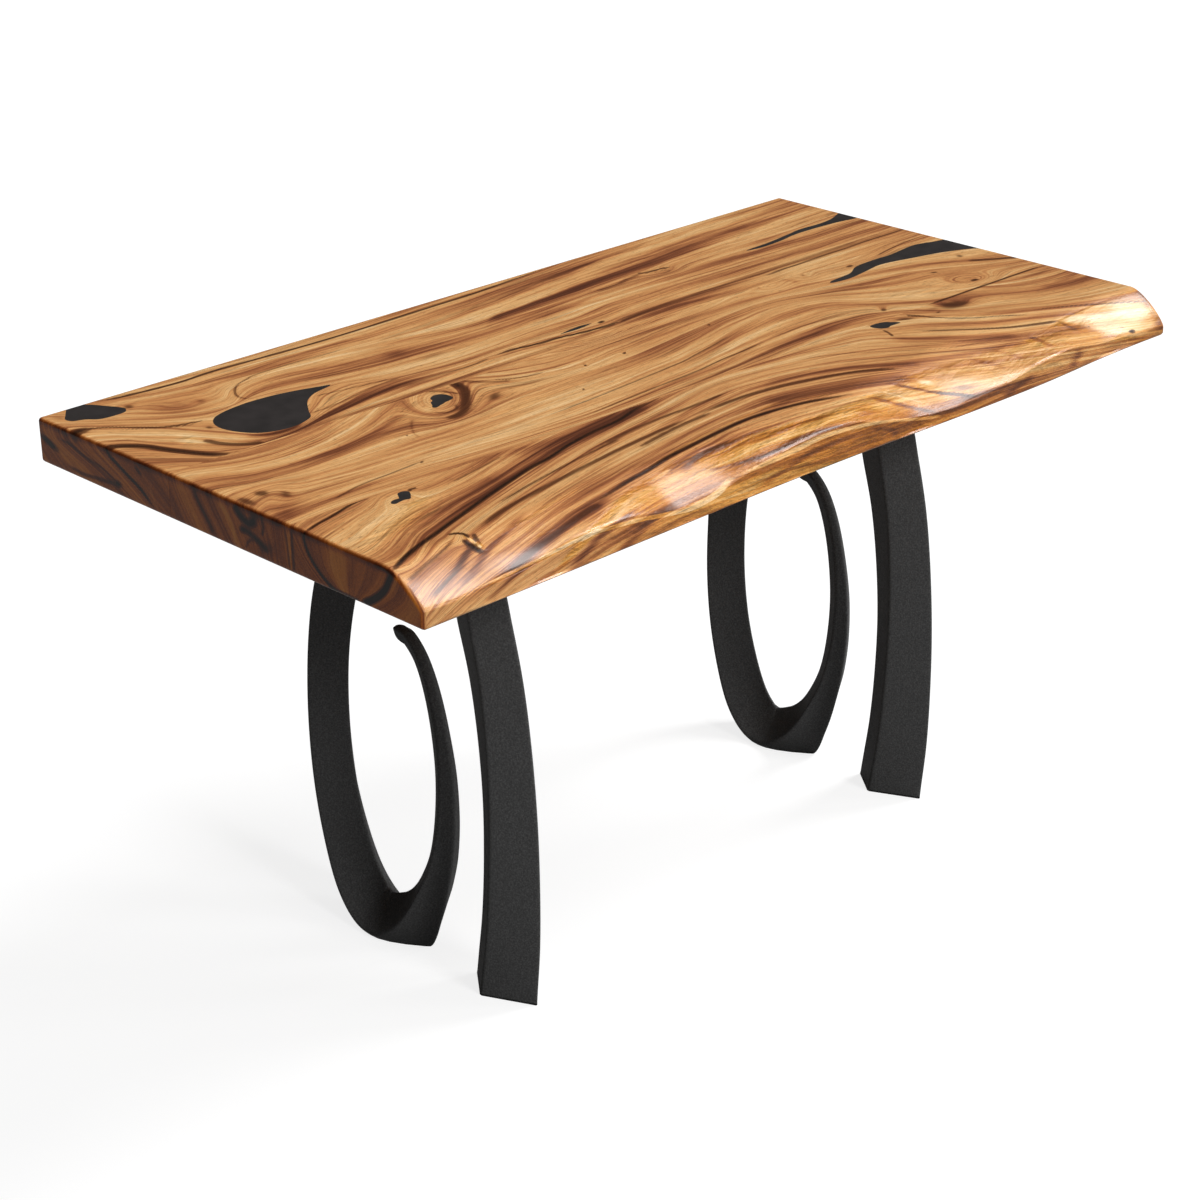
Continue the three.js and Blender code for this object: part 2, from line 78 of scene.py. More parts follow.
# The boards, millimetres: their widths at the left and the right end of the top, the gap between two boards,
# and the live edge. EDGE_LEAN is where along the slope's run the third control point of its curve lies.
FRONT_WIDTH = (233, 216)
BACK_WIDTH = (277, 303)
GLUE_LINE = 0.3
EDGE_RUN = 130
EDGE_ROUND = 5
EDGE_WAVE = 10
EDGE_FOOT = 4
EDGE_LEAN = 0.68

# The live edge: place, height of the upright face, run of the slope, how far the face is set back,
# as shares of the top's length and thickness, EDGE_RUN and EDGE_WAVE
LIVE_EDGE_SHARES = [
    (-0.02, 0.40, 0.50, 0.50),
    (0.03, 0.36, 0.50, 0.50),
    (0.10, 0.46, 0.54, 0.55),
    (0.17, 0.63, 0.60, 0.60),
    (0.22, 0.62, 0.62, 0.70),
    (0.29, 0.38, 0.52, 0.80),
    (0.34, 0.42, 0.48, 0.90),
    (0.40, 0.66, 0.52, 1.00),
    (0.46, 0.80, 0.56, 1.00),
    (0.52, 0.76, 0.58, 0.90),
    (0.58, 0.46, 0.60, 0.65),
    (0.66, 0.28, 0.70, 0.25),
    (0.73, 0.36, 0.86, 0.05),
    (0.79, 0.56, 1.00, 0.00),
    (0.84, 0.60, 0.96, 0.20),
    (0.89, 0.40, 0.66, 0.50),
    (0.95, 0.30, 0.52, 0.60),
    (1.02, 0.16, 0.45, 0.40),
]

# The resin fills: centre and size as shares of the top's length and width, depth in millimetres,
# and the outline as shares of half the size
FILLS = [
    ("fill_back_corner", (-0.4593, 0.4514), (0.0543, 0.0972), 30, [
        (-0.42, 0.88), (-0.76, 0.4), (-0.99, 0.03), (-0.91, -0.24), (-0.51, -0.44), (-0.17, -0.76),
        (0.37, -0.85), (0.87, -0.78), (1.04, -0.49), (0.96, -0.22), (0.76, 0.14), (0.53, 0.56),
        (0.33, 0.85), (0.13, 1.15), (-0.24, 1.15)]),
    ("fill_back_pool", (-0.3321, 0.226), (0.1414, 0.1592), 30, [
        (-0.99, 0.1), (-0.8, 0.68), (-0.3, 0.9), (0.3, 0.85), (0.82, 0.61), (1, 0.49), (0.64, 0.31),
        (0.42, 0.07), (0.18, -0.46), (0.03, -0.81), (-0.35, -0.98), (-0.74, -0.78)]),
    ("fill_back_end", (0.4107, 0.2895), (0.1857, 0.0675), 30, [
        (-0.98, -0.18), (-0.56, -0.02), (-0.15, 0.28), (0.08, 0.46), (0.45, 0.4), (0.65, 0.54),
        (0.92, 1.06), (1.08, 1.4), (1.08, -0.5), (0.92, -0.48), (0.57, -0.18), (-0.07, -0.06),
        (-0.47, -0.36), (-0.8, -0.42)]),
    ("fill_middle_end", (0.4, 0.0101), (0.2086, 0.1026), 30, [
        (-1, 0.14), (-0.96, 0.3), (-0.65, 0.42), (-0.4, 0.84), (-0.09, 0.91), (0.12, 0.87), (0.55, 1.04),
        (0.79, 0.79), (1.06, 0.46), (1.06, -1.38), (0.82, -0.83), (0.55, -0.39), (0.22, -0.05),
        (-0.21, 0.3), (-0.5, 0.14), (-0.78, 0.01)]),
    ("fill_back_crack", (0.0107, 0.1754), (0.0457, 0.0121), 16, [
        (-1, -0.1), (-0.72, 0.2), (-0.39, 0.68), (0, 1), (0.34, 1.1), (0.72, 0.78), (0.97, 0.33), (0.78, 0),
        (0.53, -0.33), (0, -0.7), (-0.56, -0.55)]),
    ("fill_middle_knot", (-0.2171, 0.0722), (0.0343, 0.0567), 16, [
        (0.2, 0.76), (0.6, 0.6), (0.76, 0.12), (0.68, -0.4), (0.29, -0.6), (-0.09, -0.67), (-0.57, -0.85),
        (-0.96, -0.98), (-1.09, -0.83), (-0.88, -0.5), (-0.65, -0.07), (-0.42, 0.1), (-0.25, 0.5)]),
    ("fill_front_knot", (-0.3971, -0.2206), (0.0257, 0.0351), 16, [
        (-1.17, -0.73), (-1, -0.31), (-0.62, -0.12), (-0.26, -0.19), (-0.06, 0.19), (0.27, 0.81),
        (0.69, 0.88), (0.99, 0.5), (0.83, -0.04), (0.55, -0.54), (0.24, -0.96), (-0.2, -0.81),
        (-0.62, -0.88), (-0.98, -0.96)]),
    ("fill_front_seam", (0.226, -0.2227), (0.0371, 0.0297), 16, [
        (-0.67, 0.55), (-0.55, 1.05), (-0.25, 1.14), (0.14, 1.05), (0.52, 0.73), (0.72, 0.18),
        (0.95, -0.36), (0.98, -0.82), (0.64, -0.82), (0.22, -0.77), (-0.09, -1), (-0.4, -0.73),
        (-0.59, -0.18)]),
]

# The cast leg: one stroke from the free tip, round the ring, over the crown and down the bow. Each station is
# the place across and up as shares of the reach and the height, then how far the inner edge, the outer edge
# and the side ridges stand off that line, as shares of the bar's width.
STROKE_SHARES = [
    (0.093, 0.680, 0.222, 0.036, 0.090),
    (0.047, 0.673, 0.230, 0.045, 0.098),
    (-0.013, 0.636, 0.230, 0.052, 0.102),
    (-0.060, 0.575, 0.240, 0.062, 0.113),
    (-0.094, 0.492, 0.250, 0.078, 0.133),
    (-0.111, 0.398, 0.260, 0.105, 0.173),
    (-0.104, 0.301, 0.270, 0.133, 0.219),
    (-0.075, 0.213, 0.270, 0.165, 0.276),
    (-0.028, 0.145, 0.280, 0.247, 0.352),
    (0.023, 0.089, 0.330, 0.332, 0.419),
    (0.089, 0.044, 0.410, 0.472, 0.457),
    (0.179, 0.013, 0.480, 0.512, 0.468),
    (0.281, 0.019, 0.520, 0.432, 0.452),
    (0.373, 0.070, 0.540, 0.342, 0.424),
    (0.440, 0.161, 0.530, 0.312, 0.390),
    (0.488, 0.279, 0.510, 0.299, 0.360),
    (0.506, 0.415, 0.490, 0.304, 0.341),
    (0.492, 0.559, 0.480, 0.312, 0.333),
    (0.446, 0.697, 0.490, 0.323, 0.335),
    (0.370, 0.814, 0.490, 0.340, 0.334),
    (0.254, 0.906, 0.500, 0.361, 0.333),
    (0.103, 0.958, 0.520, 0.384, 0.331),
    (-0.064, 0.964, 0.540, 0.406, 0.327),
    (-0.205, 0.927, 0.570, 0.427, 0.323),
    (-0.290, 0.860, 0.600, 0.447, 0.318),
    (-0.332, 0.768, 0.620, 0.468, 0.316),
    (-0.372, 0.657, 0.580, 0.487, 0.322),
    (-0.395, 0.533, 0.540, 0.512, 0.334),
    (-0.402, 0.400, 0.500, 0.556, 0.348),
    (-0.394, 0.268, 0.480, 0.608, 0.358),
    (-0.376, 0.144, 0.470, 0.661, 0.362),
    (-0.347, 0.035, 0.460, 0.711, 0.362),
    (-0.322, -0.056, 0.450, 0.759, 0.363),
]

# Flow lines of each board, front to back: the level of the line in straight-grained wood, then the places
# (x, y) it passes through, in millimetres. The grain runs along them. Beyond the ends, at x below -700 or
# above 700, a place is that far down the end face.
FLOW = {
    "front_board": [
        (-480, [(-800, -560), (-600, -500), (-400, -460), (0, -480), (300, -470), (800, -600)]),
        (-400, [(-800, -480), (-700, -436), (-600, -400), (-400, -338), (-250, -306), (-100, -281),
            (0, -288), (100, -318), (200, -368), (300, -410), (800, -570)]),
        (-330, [(-800, -460), (-760, -434), (-700, -392), (-600, -345), (-500, -310), (-400, -282),
            (-250, -252), (-100, -228), (0, -221), (50, -232), (130, -254), (200, -290), (300, -345),
            (400, -395), (800, -540)]),
        (-280, [(-760, -376), (-730, -372), (-700, -356), (-600, -314), (-400, -246), (-300, -216),
            (-150, -190), (0, -168), (100, -184), (200, -214), (300, -276), (370, -318), (450, -356),
            (600, -430), (800, -500)]),
        (-240, [(-760, -300), (-730, -336), (-700, -338), (-600, -296), (-400, -228), (-300, -200),
            (-150, -170), (0, -148), (100, -160), (200, -178), (270, -206), (300, -240), (340, -275),
            (400, -310), (480, -345), (600, -400), (800, -480)]),
        (-205, [(-760, -258), (-728, -304), (-707, -320), (-600, -275), (-500, -240), (-400, -208),
            (-300, -182), (-200, -165), (-150, -150), (0, -130), (200, -150), (300, -170), (370, -220),
            (420, -260), (500, -298), (560, -330), (640, -370), (800, -440)]),
        (-150, [(-760, -240), (-700, -228), (-600, -190), (-480, -172), (-380, -145), (-200, -120),
            (200, -125), (340, -148), (400, -190), (450, -235), (520, -275), (600, -320), (800, -380)]),
        (-110, [(-760, -222), (-736, -180), (-706, -164), (-610, -138), (-500, -120), (-200, -90),
            (300, -100), (400, -130), (460, -190), (520, -230), (600, -260), (800, -290)]),
        (-70, [(-760, -170), (-700, -118), (0, -60), (300, -60), (430, -105), (500, -140), (540, -165),
            (580, -190), (640, -205), (800, -205)]),
        (-20, [(-760, -110), (-700, -58), (0, 0), (400, -60), (560, -110), (640, -150), (800, -160)]),
    ],
    "middle_board": [
        (-165, [(-760, -160), (-700, -143), (-400, -155), (0, -155), (300, -150), (360, -165), (440, -215),
            (800, -240)]),
        (-135, [(-760, -140), (-700, -128), (-500, -128), (-250, -140), (0, -138), (200, -122), (300, -122),
            (360, -135), (440, -190), (800, -215)]),
        (-105, [(-760, -112), (-700, -107), (-600, -102), (-500, -103), (-250, -126), (0, -112), (100, -99),
            (250, -90), (330, -100), (400, -140), (460, -175), (560, -175), (800, -190)]),
        (-65, [(-760, -76), (-700, -66), (-500, -80), (-250, -90), (-100, -82), (0, -72), (100, -54),
            (200, -28), (270, -20), (340, -35), (400, -85), (460, -128), (500, -150), (620, -150),
            (800, -165)]),
        (-25, [(-760, -46), (-730, -26), (-700, -9), (-600, -30), (-500, -38), (-250, -40), (0, -28),
            (100, -12), (200, 8), (300, 5), (380, -22), (470, -60), (560, -75), (640, -110), (800, -160)]),
        (10, [(-760, -22), (-700, 16), (-650, 0), (-550, -8), (-420, 0), (-330, -18), (-220, -5), (0, 4),
            (150, 22), (300, 28), (400, 2), (480, -12), (560, -40), (640, -85), (800, -140)]),
        (35, [(-760, 16), (-700, 56), (-620, 26), (-550, 18), (-430, 36), (-380, 62), (-340, 84),
            (-240, 80), (-195, 52), (-120, 25), (0, 32), (150, 46), (250, 42), (400, 24), (480, 8),
            (560, -12), (640, -52), (800, -120)]),
        (65, [(-760, 52), (-700, 88), (-620, 58), (-550, 52), (-430, 80), (-340, 118), (-240, 118),
            (-185, 80), (-110, 58), (0, 62), (200, 62), (340, 80), (420, 52), (520, 40), (620, 45),
            (800, 30)]),
        (100, [(-760, 94), (-700, 130), (-600, 92), (-500, 92), (-300, 150), (-200, 140), (-120, 92),
            (200, 86), (330, 98), (420, 84), (520, 70), (620, 82), (800, 92)]),
    ],
    "back_board": [
        (60, [(-760, 40), (-700, 98), (-680, 92), (-640, 60), (-500, 40), (800, 60)]),
        (95, [(-760, 82), (-730, 130), (-700, 172), (-690, 160), (-660, 128), (-630, 95), (-600, 70),
            (-400, 88), (-200, 96), (0, 92), (300, 92), (800, 92)]),
        (115, [(-760, 112), (-732, 166), (-710, 212), (-690, 214), (-665, 188), (-650, 150), (-625, 108),
            (-590, 88), (-500, 92), (-400, 106), (-200, 120), (-140, 128), (-60, 120), (20, 110), (60, 108),
            (90, 114), (400, 112), (800, 112)]),
        (145, [(-760, 140), (-730, 198), (-705, 248), (-680, 240), (-640, 195), (-600, 140), (-575, 108),
            (-520, 96), (-430, 120), (-330, 146), (-200, 136), (-60, 134), (60, 128), (200, 140),
            (400, 142), (800, 140)]),
        (175, [(-760, 168), (-736, 222), (-718, 282), (-700, 303), (-660, 276), (-610, 226), (-575, 170),
            (-545, 120), (-500, 108), (-440, 150), (-400, 182), (-366, 190), (-290, 166), (-200, 158),
            (0, 168), (200, 182), (400, 172), (800, 170)]),
        (205, [(-760, 204), (-742, 246), (-720, 318), (-700, 330), (-680, 312), (-640, 275), (-590, 234),
            (-550, 212), (-500, 225), (-440, 224), (-366, 204), (-250, 194), (-100, 190), (0, 198),
            (200, 205), (400, 206), (800, 206)]),
        (240, [(-760, 262), (-740, 300), (-720, 344), (-700, 352), (-660, 322), (-600, 268), (-540, 232),
            (-495, 228), (-474, 240), (-455, 250), (-300, 240), (-100, 225), (50, 226), (200, 236),
            (300, 236), (450, 236), (800, 242)]),
        (275, [(-760, 320), (-740, 350), (-700, 374), (-640, 340), (-580, 300), (-530, 270), (-490, 262),
            (-470, 280), (-440, 292), (-400, 296), (-200, 272), (-80, 252), (0, 257), (200, 271),
            (300, 278), (400, 290), (550, 297), (800, 302)]),
        (305, [(-760, 380), (-700, 396), (-640, 368), (-560, 330), (-490, 312), (-440, 306), (-400, 302),
            (-300, 300), (-200, 294), (-50, 303), (100, 322), (200, 333), (300, 340), (500, 345),
            (800, 352)]),
        (345, [(-760, 440), (-700, 424), (-650, 392), (-600, 366), (-580, 357), (-500, 347), (-430, 350),
            (-250, 343), (-50, 348), (50, 352), (200, 366), (400, 378), (800, 388)]),
        (385, [(-760, 490), (-700, 470), (-560, 395), (0, 388), (300, 405), (800, 425)]),
    ],
}

# Knots and burls of each board: centre x and y, half-length, half-width, turn in degrees, then how far the
# grain swells there, in millimetres
KNOTS = {
    "front_board": [
        (-560, -165, 26, 20, 20, -26), (312, -160, 34, 20, -35, 20), (455, -175, 34, 22, -30, 22),
        (-598, -318, 10, 24, 0, 14),
    ],
    "middle_board": [
        (-308, 50, 52, 30, 48, 62), (-665, -55, 48, 20, 35, -22), (568, -124, 46, 26, -18, 34),
        (340, 62, 38, 18, 5, 24), (372, -118, 12, 9, 30, 14), (415, 62, 20, 14, 50, 16),
        (-83, 12, 7, 4, 30, 8), (-12, 10, 7, 4, 30, 8),
    ],
    "back_board": [
        (285, 228, 30, 14, -12, 20), (-640, 340, 42, 34, -30, 22), (-560, 268, 46, 22, -28, 20),
    ],
}

# Streaks that follow a line, for each board, two of them painted highlights on the live edge: how dark
# (or, below 0, how pale) and how brown they are, how far they fade to the left and to the right of the line
# as it runs, in millimetres, and the line's places (x, y)
STREAKS = {
    "front_board": [
        (1, 0, 4, 5, [(-703, -322), (-690, -313), (-650, -293), (-600, -275), (-500, -240), (-400, -208),
            (-350, -197), (-300, -182), (-250, -172), (-200, -166), (-150, -151), (-110, -148)]),
        (0, 0.5, 26, 12, [(-702, -322), (-600, -272), (-500, -237), (-400, -206), (-300, -180),
            (-200, -164), (-120, -148)]),
        (0.2, 0.5, 10, 26, [(-395, -146), (-300, -158), (-200, -156), (-130, -150)]),
        (0.85, 0, 2, 2, [(-702, -167), (-675, -158), (-650, -152), (-610, -140), (-580, -137)]),
        (0.4, 0.1, 2, 2, [(-490, -174), (-430, -162), (-375, -150)]),
        (0, 0.35, 12, 8, [(-620, -252), (-500, -215), (-430, -196)]),
        (0.45, 0.2, 3, 5, [(-510, -264), (-400, -238), (-300, -220), (-230, -212)]),
        (0.5, 0.35, 4, 9, [(-570, -303), (-500, -278), (-400, -258), (-300, -241), (-200, -229),
            (-120, -222)]),
        (0.45, 0.3, 3, 8, [(-300, -216), (-200, -200), (-100, -196), (-20, -192)]),
        (0.5, 0.3, 3, 8, [(-260, -252), (-200, -240), (-150, -233), (-90, -228)]),
        (0.6, 0.3, 3, 9, [(-130, -222), (-50, -218), (0, -221), (60, -232), (130, -254), (170, -275),
            (205, -303)]),
        (0.85, 0.3, 5, 5, [(-430, -345), (-350, -322), (-300, -312), (-250, -300), (-200, -292),
            (-100, -280), (-50, -281), (0, -289), (40, -301), (90, -320)]),
        (0.3, 0.2, 3, 3, [(-300, -296), (-200, -281), (-100, -269), (-40, -269), (20, -284), (80, -305)]),
        (0.25, 0.75, 24, 14, [(-40, -262), (20, -268), (80, -288), (140, -312), (190, -332)]),
        (0.1, 0.6, 10, 12, [(0, -203), (80, -215), (120, -230), (160, -250), (200, -280), (235, -310)]),
        (0.35, 0.2, 2, 3, [(90, -166), (150, -184), (200, -210), (250, -250), (300, -287), (350, -306),
            (410, -338)]),
        (0.3, 0.2, 2, 3, [(130, -152), (180, -176), (230, -205), (270, -240), (330, -280), (380, -305),
            (430, -325)]),
        (0.15, 0.65, 16, 16, [(278, -200), (298, -230), (325, -255), (350, -280), (385, -306),
            (420, -330)]),
        (0.1, 0.55, 12, 14, [(195, -275), (250, -300), (300, -320), (350, -335), (410, -345)]),
        (0.65, 0.1, 2, 3, [(325, -212), (360, -240), (400, -273), (440, -300), (480, -318), (502, -327)]),
        (0.55, 0.1, 2, 3, [(362, -152), (385, -180), (402, -207), (430, -235), (462, -256), (503, -290)]),
        (0.5, 0.1, 2, 3, [(498, -264), (540, -285), (575, -306), (610, -330), (640, -350), (668, -372)]),
        (0.15, 0.45, 7, 8, [(540, -150), (560, -166), (590, -185), (630, -196), (680, -199), (770, -196)]),
        (0.1, 0.4, 5, 6, [(558, -148), (600, -165), (650, -173), (770, -168)]),
        (0, 0.3, 10, 10, [(600, -215), (640, -222), (700, -214), (770, -210)]),
        (0.6, 0.1, 2, 2, [(301, -176), (297, -190), (289, -206)]),
        (0.55, 0.1, 2, 4, [(372, -156), (385, -175), (392, -197)]),
        (0.75, 0.1, 2, 2, [(-538, -158), (-532, -154), (-524, -156)]),
        (0.4, 0.6, 3, 5, [(-717, -357), (-680, -340), (-633, -320), (-592, -300)]),
        (0.4, 0.75, 5, 7, [(-735, -412), (-662, -374), (-612, -341), (-580, -322)]),
        (0.1, 0.68, 6, 6, [(-690, -408), (-640, -384), (-590, -352), (-540, -328), (-490, -305)]),
        (0.4, 0.9, 10, 10, [(-633, -424), (-567, -395), (-508, -374), (-442, -353), (-400, -345)]),
        (0.28, 0.6, 6, 6, [(-696, -462), (-650, -440), (-612, -424), (-560, -408)]),
        (0.23, 0.75, 6, 6, [(-567, -460), (-520, -436), (-483, -418), (-430, -400), (-395, -388)]),
        (0.18, 0.6, 5, 5, [(-500, -465), (-450, -444), (-400, -424), (-350, -415)]),
        (-0.9, -0.15, 7, 7, [(-600, -462), (-508, -416), (-425, -376), (-362, -347), (-300, -333),
            (-250, -317)]),
        (-0.35, -0.3, 6, 6, [(-560, -330), (-508, -319), (-446, -305), (-380, -292)]),
        (0.9, 0.2, 2, 2, [(-594, -288), (-584, -292), (-579, -301), (-583, -312)]),
        (0.9, 0.3, 3, 2, [(-590, -308), (-596, -330), (-601, -356)]),
        (0.7, 0.2, 2, 3, [(-570, -306), (-576, -314), (-583, -326)]),
        (-1.6, -0.3, 3, 3, [(-580, -300), (-587, -325), (-594, -346)]),
        (-0.5, -0.2, 2, 2, [(-300, -306), (-175, -281), (-50, -268), (0, -271), (50, -293), (75, -304)]),
        (-0.4, -0.2, 2, 2, [(-112, -312), (-50, -315), (12, -319), (75, -328), (110, -336)]),
        (0.3, 0.9, 6, 6, [(-250, -362), (-225, -369), (-154, -379), (-92, -371), (-42, -375), (5, -390)]),
        (0.15, 0.68, 6, 6, [(-270, -345), (-240, -331), (-205, -320), (-150, -318)]),
        (0.15, 0.6, 5, 5, [(-160, -336), (-100, -340), (-50, -337), (0, -344)]),
        (0.15, 0.9, 6, 6, [(83, -338), (88, -387), (95, -436)]),
        (-0.5, -0.2, 3, 3, [(110, -330), (112, -370), (114, -412)]),
        (0.4, 0.9, 6, 6, [(140, -322), (146, -350), (154, -387), (165, -415), (176, -437)]),
        (0.85, 0.1, 1, 1, [(152, -385), (162, -402), (172, -420), (176, -436)]),
        (0, 0.4, 8, 8, [(288, -332), (291, -360), (293, -392)]),
        (0, 0.35, 6, 6, [(337, -335), (340, -362), (338, -388)]),
        (-0.4, -0.2, 3, 3, [(400, -340), (402, -358), (396, -378)]),
        (0.15, 0.6, 5, 6, [(415, -338), (412, -360), (404, -384)]),
        (0.32, 0.3, 1, 1, [(499, -318), (494, -335), (487, -354), (480, -372)]),
        (0.13, 0.3, 4, 4, [(562, -412), (580, -422), (604, -434)]),
        (0.1, 0.5, 6, 6, [(700, -314), (667, -350), (622, -392), (570, -446)]),
        # Painted highlights: two pale lines along the crease between the live edge's slope and its upright
        # face, where the gloss catches the light
        (-1.6, -0.1, 1, 2, [(-730, -428), (-640, -420), (-550, -410), (-487, -403), (-425, -410),
            (-383, -424), (-350, -432), (-300, -424), (-250, -403)]),
        (-1.1, -0.1, 1, 2, [(-262, -402), (-133, -394), (-67, -387), (-8, -396), (33, -412), (67, -437),
            (96, -448)]),
        (0.75, 0.2, 1, 1, [(420, -151.4), (560, -153), (697, -154.6)]),
        (0.23, 0.6, 5, 5, [(200, -462), (250, -448), (300, -436)]),
        (0.23, 0.6, 4, 4, [(350, -456), (390, -436), (420, -420)]),
        (0.08, 0.6, 4, 4, [(-250, -446), (-180, -428), (-100, -412), (-20, -412)]),
        (0.18, 0.45, 2, 2, [(-10, -416), (8, -424), (8, -438), (-6, -452)]),
        (1, 0.3, 2.5, 2.5, [(-697, -168), (-706, -163), (-722, -168), (-736, -180), (-747, -194),
            (-756, -212), (-760, -226)]),
        (0.7, 0.4, 4, 4, [(-758, -200), (-757, -230), (-759, -262)]),
        (1.1, 0.4, 6, 6, [(-704, -318), (-714, -312), (-728, -304), (-740, -292), (-751, -276),
            (-760, -258)]),
        (0.6, 0.4, 3, 3, [(-704, -288), (-705, -305), (-707, -324)]),
        (0.7, 0.2, 1.5, 1.5, [(-701, -141), (-730, -141), (-760, -142)]),
        (0, 0.3, 8, 8, [(-705, -250), (-725, -246), (-750, -240)]),
    ],
    "middle_board": [
        (0.75, 0.2, 1, 1, [(420, -151.4), (560, -153), (697, -154.6)]),
        (0.7, 0.2, 2, 2, [(-701, 96), (-730, 97), (-760, 98)]),
        (0.2, 0.3, 4, 4, [(-711, 72), (-735, 56), (-757, 42)]),
        (0.4, 0.5, 5, 6, [(-704, 48), (-725, 32), (-741, 18), (-757, 8)]),
        (-0.9, -0.2, 2, 2, [(-709, -2), (-719, -18), (-735, -30), (-757, -32)]),
        (0.9, 0.4, 8, 8, [(-703, -34), (-712, -42), (-720, -60), (-710, -78)]),
        (0.8, 0.4, 6, 6, [(-733, -40), (-731, -56), (-738, -78), (-748, -98)]),
        (0.4, 0.3, 2, 2, [(-757, -50), (-742, -60), (-740, -76), (-757, -88)]),
        (0.7, 0.2, 2, 2, [(-701, -84), (-718, -88), (-730, -84)]),
        (0.5, 0.2, 2, 2, [(-701, -128), (-730, -132), (-760, -134)]),
        (0.35, 0.2, 2, 3, [(-700, 16), (-690, 12), (-650, -3), (-610, -10)]),
        (0.1, 0.35, 8, 8, [(-560, 5), (-500, 8), (-450, 18), (-400, 35), (-365, 55)]),
        (0.1, 0.25, 6, 8, [(-700, 62), (-660, 52), (-600, 40), (-540, 42), (-480, 55)]),
        (0.45, 0.1, 2, 2, [(-622, -116), (-590, -107), (-560, -101), (-500, -98), (-450, -94)]),
        (0.1, 0.3, 6, 6, [(-700, -122), (-660, -118), (-600, -110), (-540, -108)]),
        (0.6, 0.5, 9, 9, [(-352, -4), (-330, -8), (-310, 0), (-290, 18), (-270, 40), (-255, 62),
            (-245, 92)]),
        (0.35, 0.45, 5, 10, [(-242, 92), (-226, 70), (-206, 50), (-188, 38)]),
        (0.45, 0.2, 2, 3, [(-208, 62), (-190, 46), (-168, 37), (-130, 30)]),
        (0.3, 0.2, 2, 2, [(-372, 28), (-395, 2), (-408, -18), (-413, -36)]),
        (0.4, 0.3, 4, 4, [(-345, 28), (-330, 10), (-312, 12), (-300, 26)]),
        (0.45, 0.3, 4, 4, [(-300, 92), (-286, 78), (-276, 60), (-272, 48)]),
        (0.45, 0, 1.6, 1.6, [(-300, -93), (-150, -85), (0, -72), (50, -63), (100, -52), (160, -36)]),
        (0.5, 0.1, 2, 2, [(-300, -131), (-100, -116), (0, -110), (60, -102), (100, -99), (170, -91)]),
        (0.3, 0.35, 3, 10, [(-120, -146), (0, -137), (100, -127), (150, -121), (200, -120), (290, -123)]),
        (0.35, 0.1, 2, 3, [(180, -88), (240, -88), (300, -95), (340, -106), (365, -120)]),
        (0.3, 0.1, 2, 2, [(0, 32), (60, 38), (120, 43), (180, 46)]),
        (0.15, 0.2, 2, 3, [(-150, 78), (-60, 74), (50, 78), (100, 82)]),
        (0.65, 0.3, 4, 8, [(632, -56), (655, -74), (680, -90), (720, -114), (770, -140)]),
        (0.15, 0.3, 7, 6, [(298, 60), (318, 76), (345, 81), (370, 75), (383, 60), (378, 48)]),
        (0.3, 0.35, 4, 6, [(406, 58), (418, 74), (430, 84), (445, 86)]),
        (0.45, 0.2, 2, 3, [(555, 50), (600, 60), (660, 67), (770, 72)]),
        (0.35, 0.1, 2, 2, [(528, 74), (560, 82), (610, 85)]),
        (0.15, 0.2, 2, 4, [(340, -30), (370, -60), (400, -95), (440, -140)]),
        (0.15, 0.2, 2, 3, [(560, -10), (600, -40), (650, -75)]),
    ],
    "back_board": [
        (0.5, 0.3, 3, 3, [(-717, 330), (-718, 300), (-726, 268), (-731, 238), (-738, 216), (-746, 200)]),
        (0.5, 0.4, 4, 4, [(-748, 316), (-751, 278), (-749, 250), (-747, 225), (-745, 205)]),
        (1.1, 0.3, 3, 3, [(-700, 224), (-704, 220), (-711, 213), (-717, 200), (-727, 177), (-734, 160),
            (-742, 146), (-756, 126)]),
        (-0.5, -0.1, 2, 2, [(-726, 138), (-742, 128), (-757, 118)]),
        (0.2, 0.3, 3, 3, [(-712, 262), (-716, 240), (-728, 215), (-735, 190)]),
        (0.85, 0.1, 2.5, 4, [(-615, 364), (-580, 355), (-500, 347), (-430, 350), (-250, 343), (-50, 348),
            (50, 352), (230, 369)]),
        (0.45, 0.25, 3, 3, [(-464, 224), (-476, 238), (-474, 256), (-455, 280), (-430, 292), (-400, 299),
            (-300, 297), (-190, 291)]),
        (0.3, 0.5, 4, 16, [(-250, 292), (-150, 293), (-50, 303), (100, 322), (200, 333), (330, 341)]),
        (0.8, 0.5, 8, 10, [(-704, 224), (-694, 216), (-680, 205), (-665, 186), (-656, 165), (-645, 142),
            (-625, 108), (-600, 84)]),
        (0.6, 0.3, 6, 9, [(-604, 158), (-594, 128), (-576, 106), (-550, 92)]),
        (0.65, 0.1, 2.5, 2.5, [(-702, 300), (-685, 291), (-660, 276), (-635, 250), (-610, 226), (-580, 214),
            (-548, 206)]),
        (0.4, 0.1, 2, 2, [(-665, 264), (-630, 238), (-600, 216), (-572, 203)]),
        (0.3, 0.3, 4, 6, [(-690, 238), (-660, 215), (-640, 190), (-625, 165)]),
        (0.45, 0.1, 1.6, 1.6, [(-412, 178), (-380, 172), (-340, 165), (-280, 155)]),
        (0.3, 0, 1.6, 1.6, [(-366, 192), (-300, 178), (-240, 168), (-150, 164)]),
        (0.25, 0.65, 26, 14, [(-590, 98), (-520, 96), (-450, 106), (-400, 118), (-330, 127), (-230, 122)]),
        (0.4, 0.2, 2, 4, [(-470, 130), (-400, 136), (-330, 150), (-270, 152)]),
        (0.3, 0.3, 6, 8, [(-560, 130), (-540, 112), (-510, 104), (-480, 104)]),
        (1, 0.1, 2, 2.5, [(-145, 127), (-110, 129), (-85, 125), (-60, 121), (-30, 120), (0, 114), (30, 110),
            (60, 108), (85, 113)]),
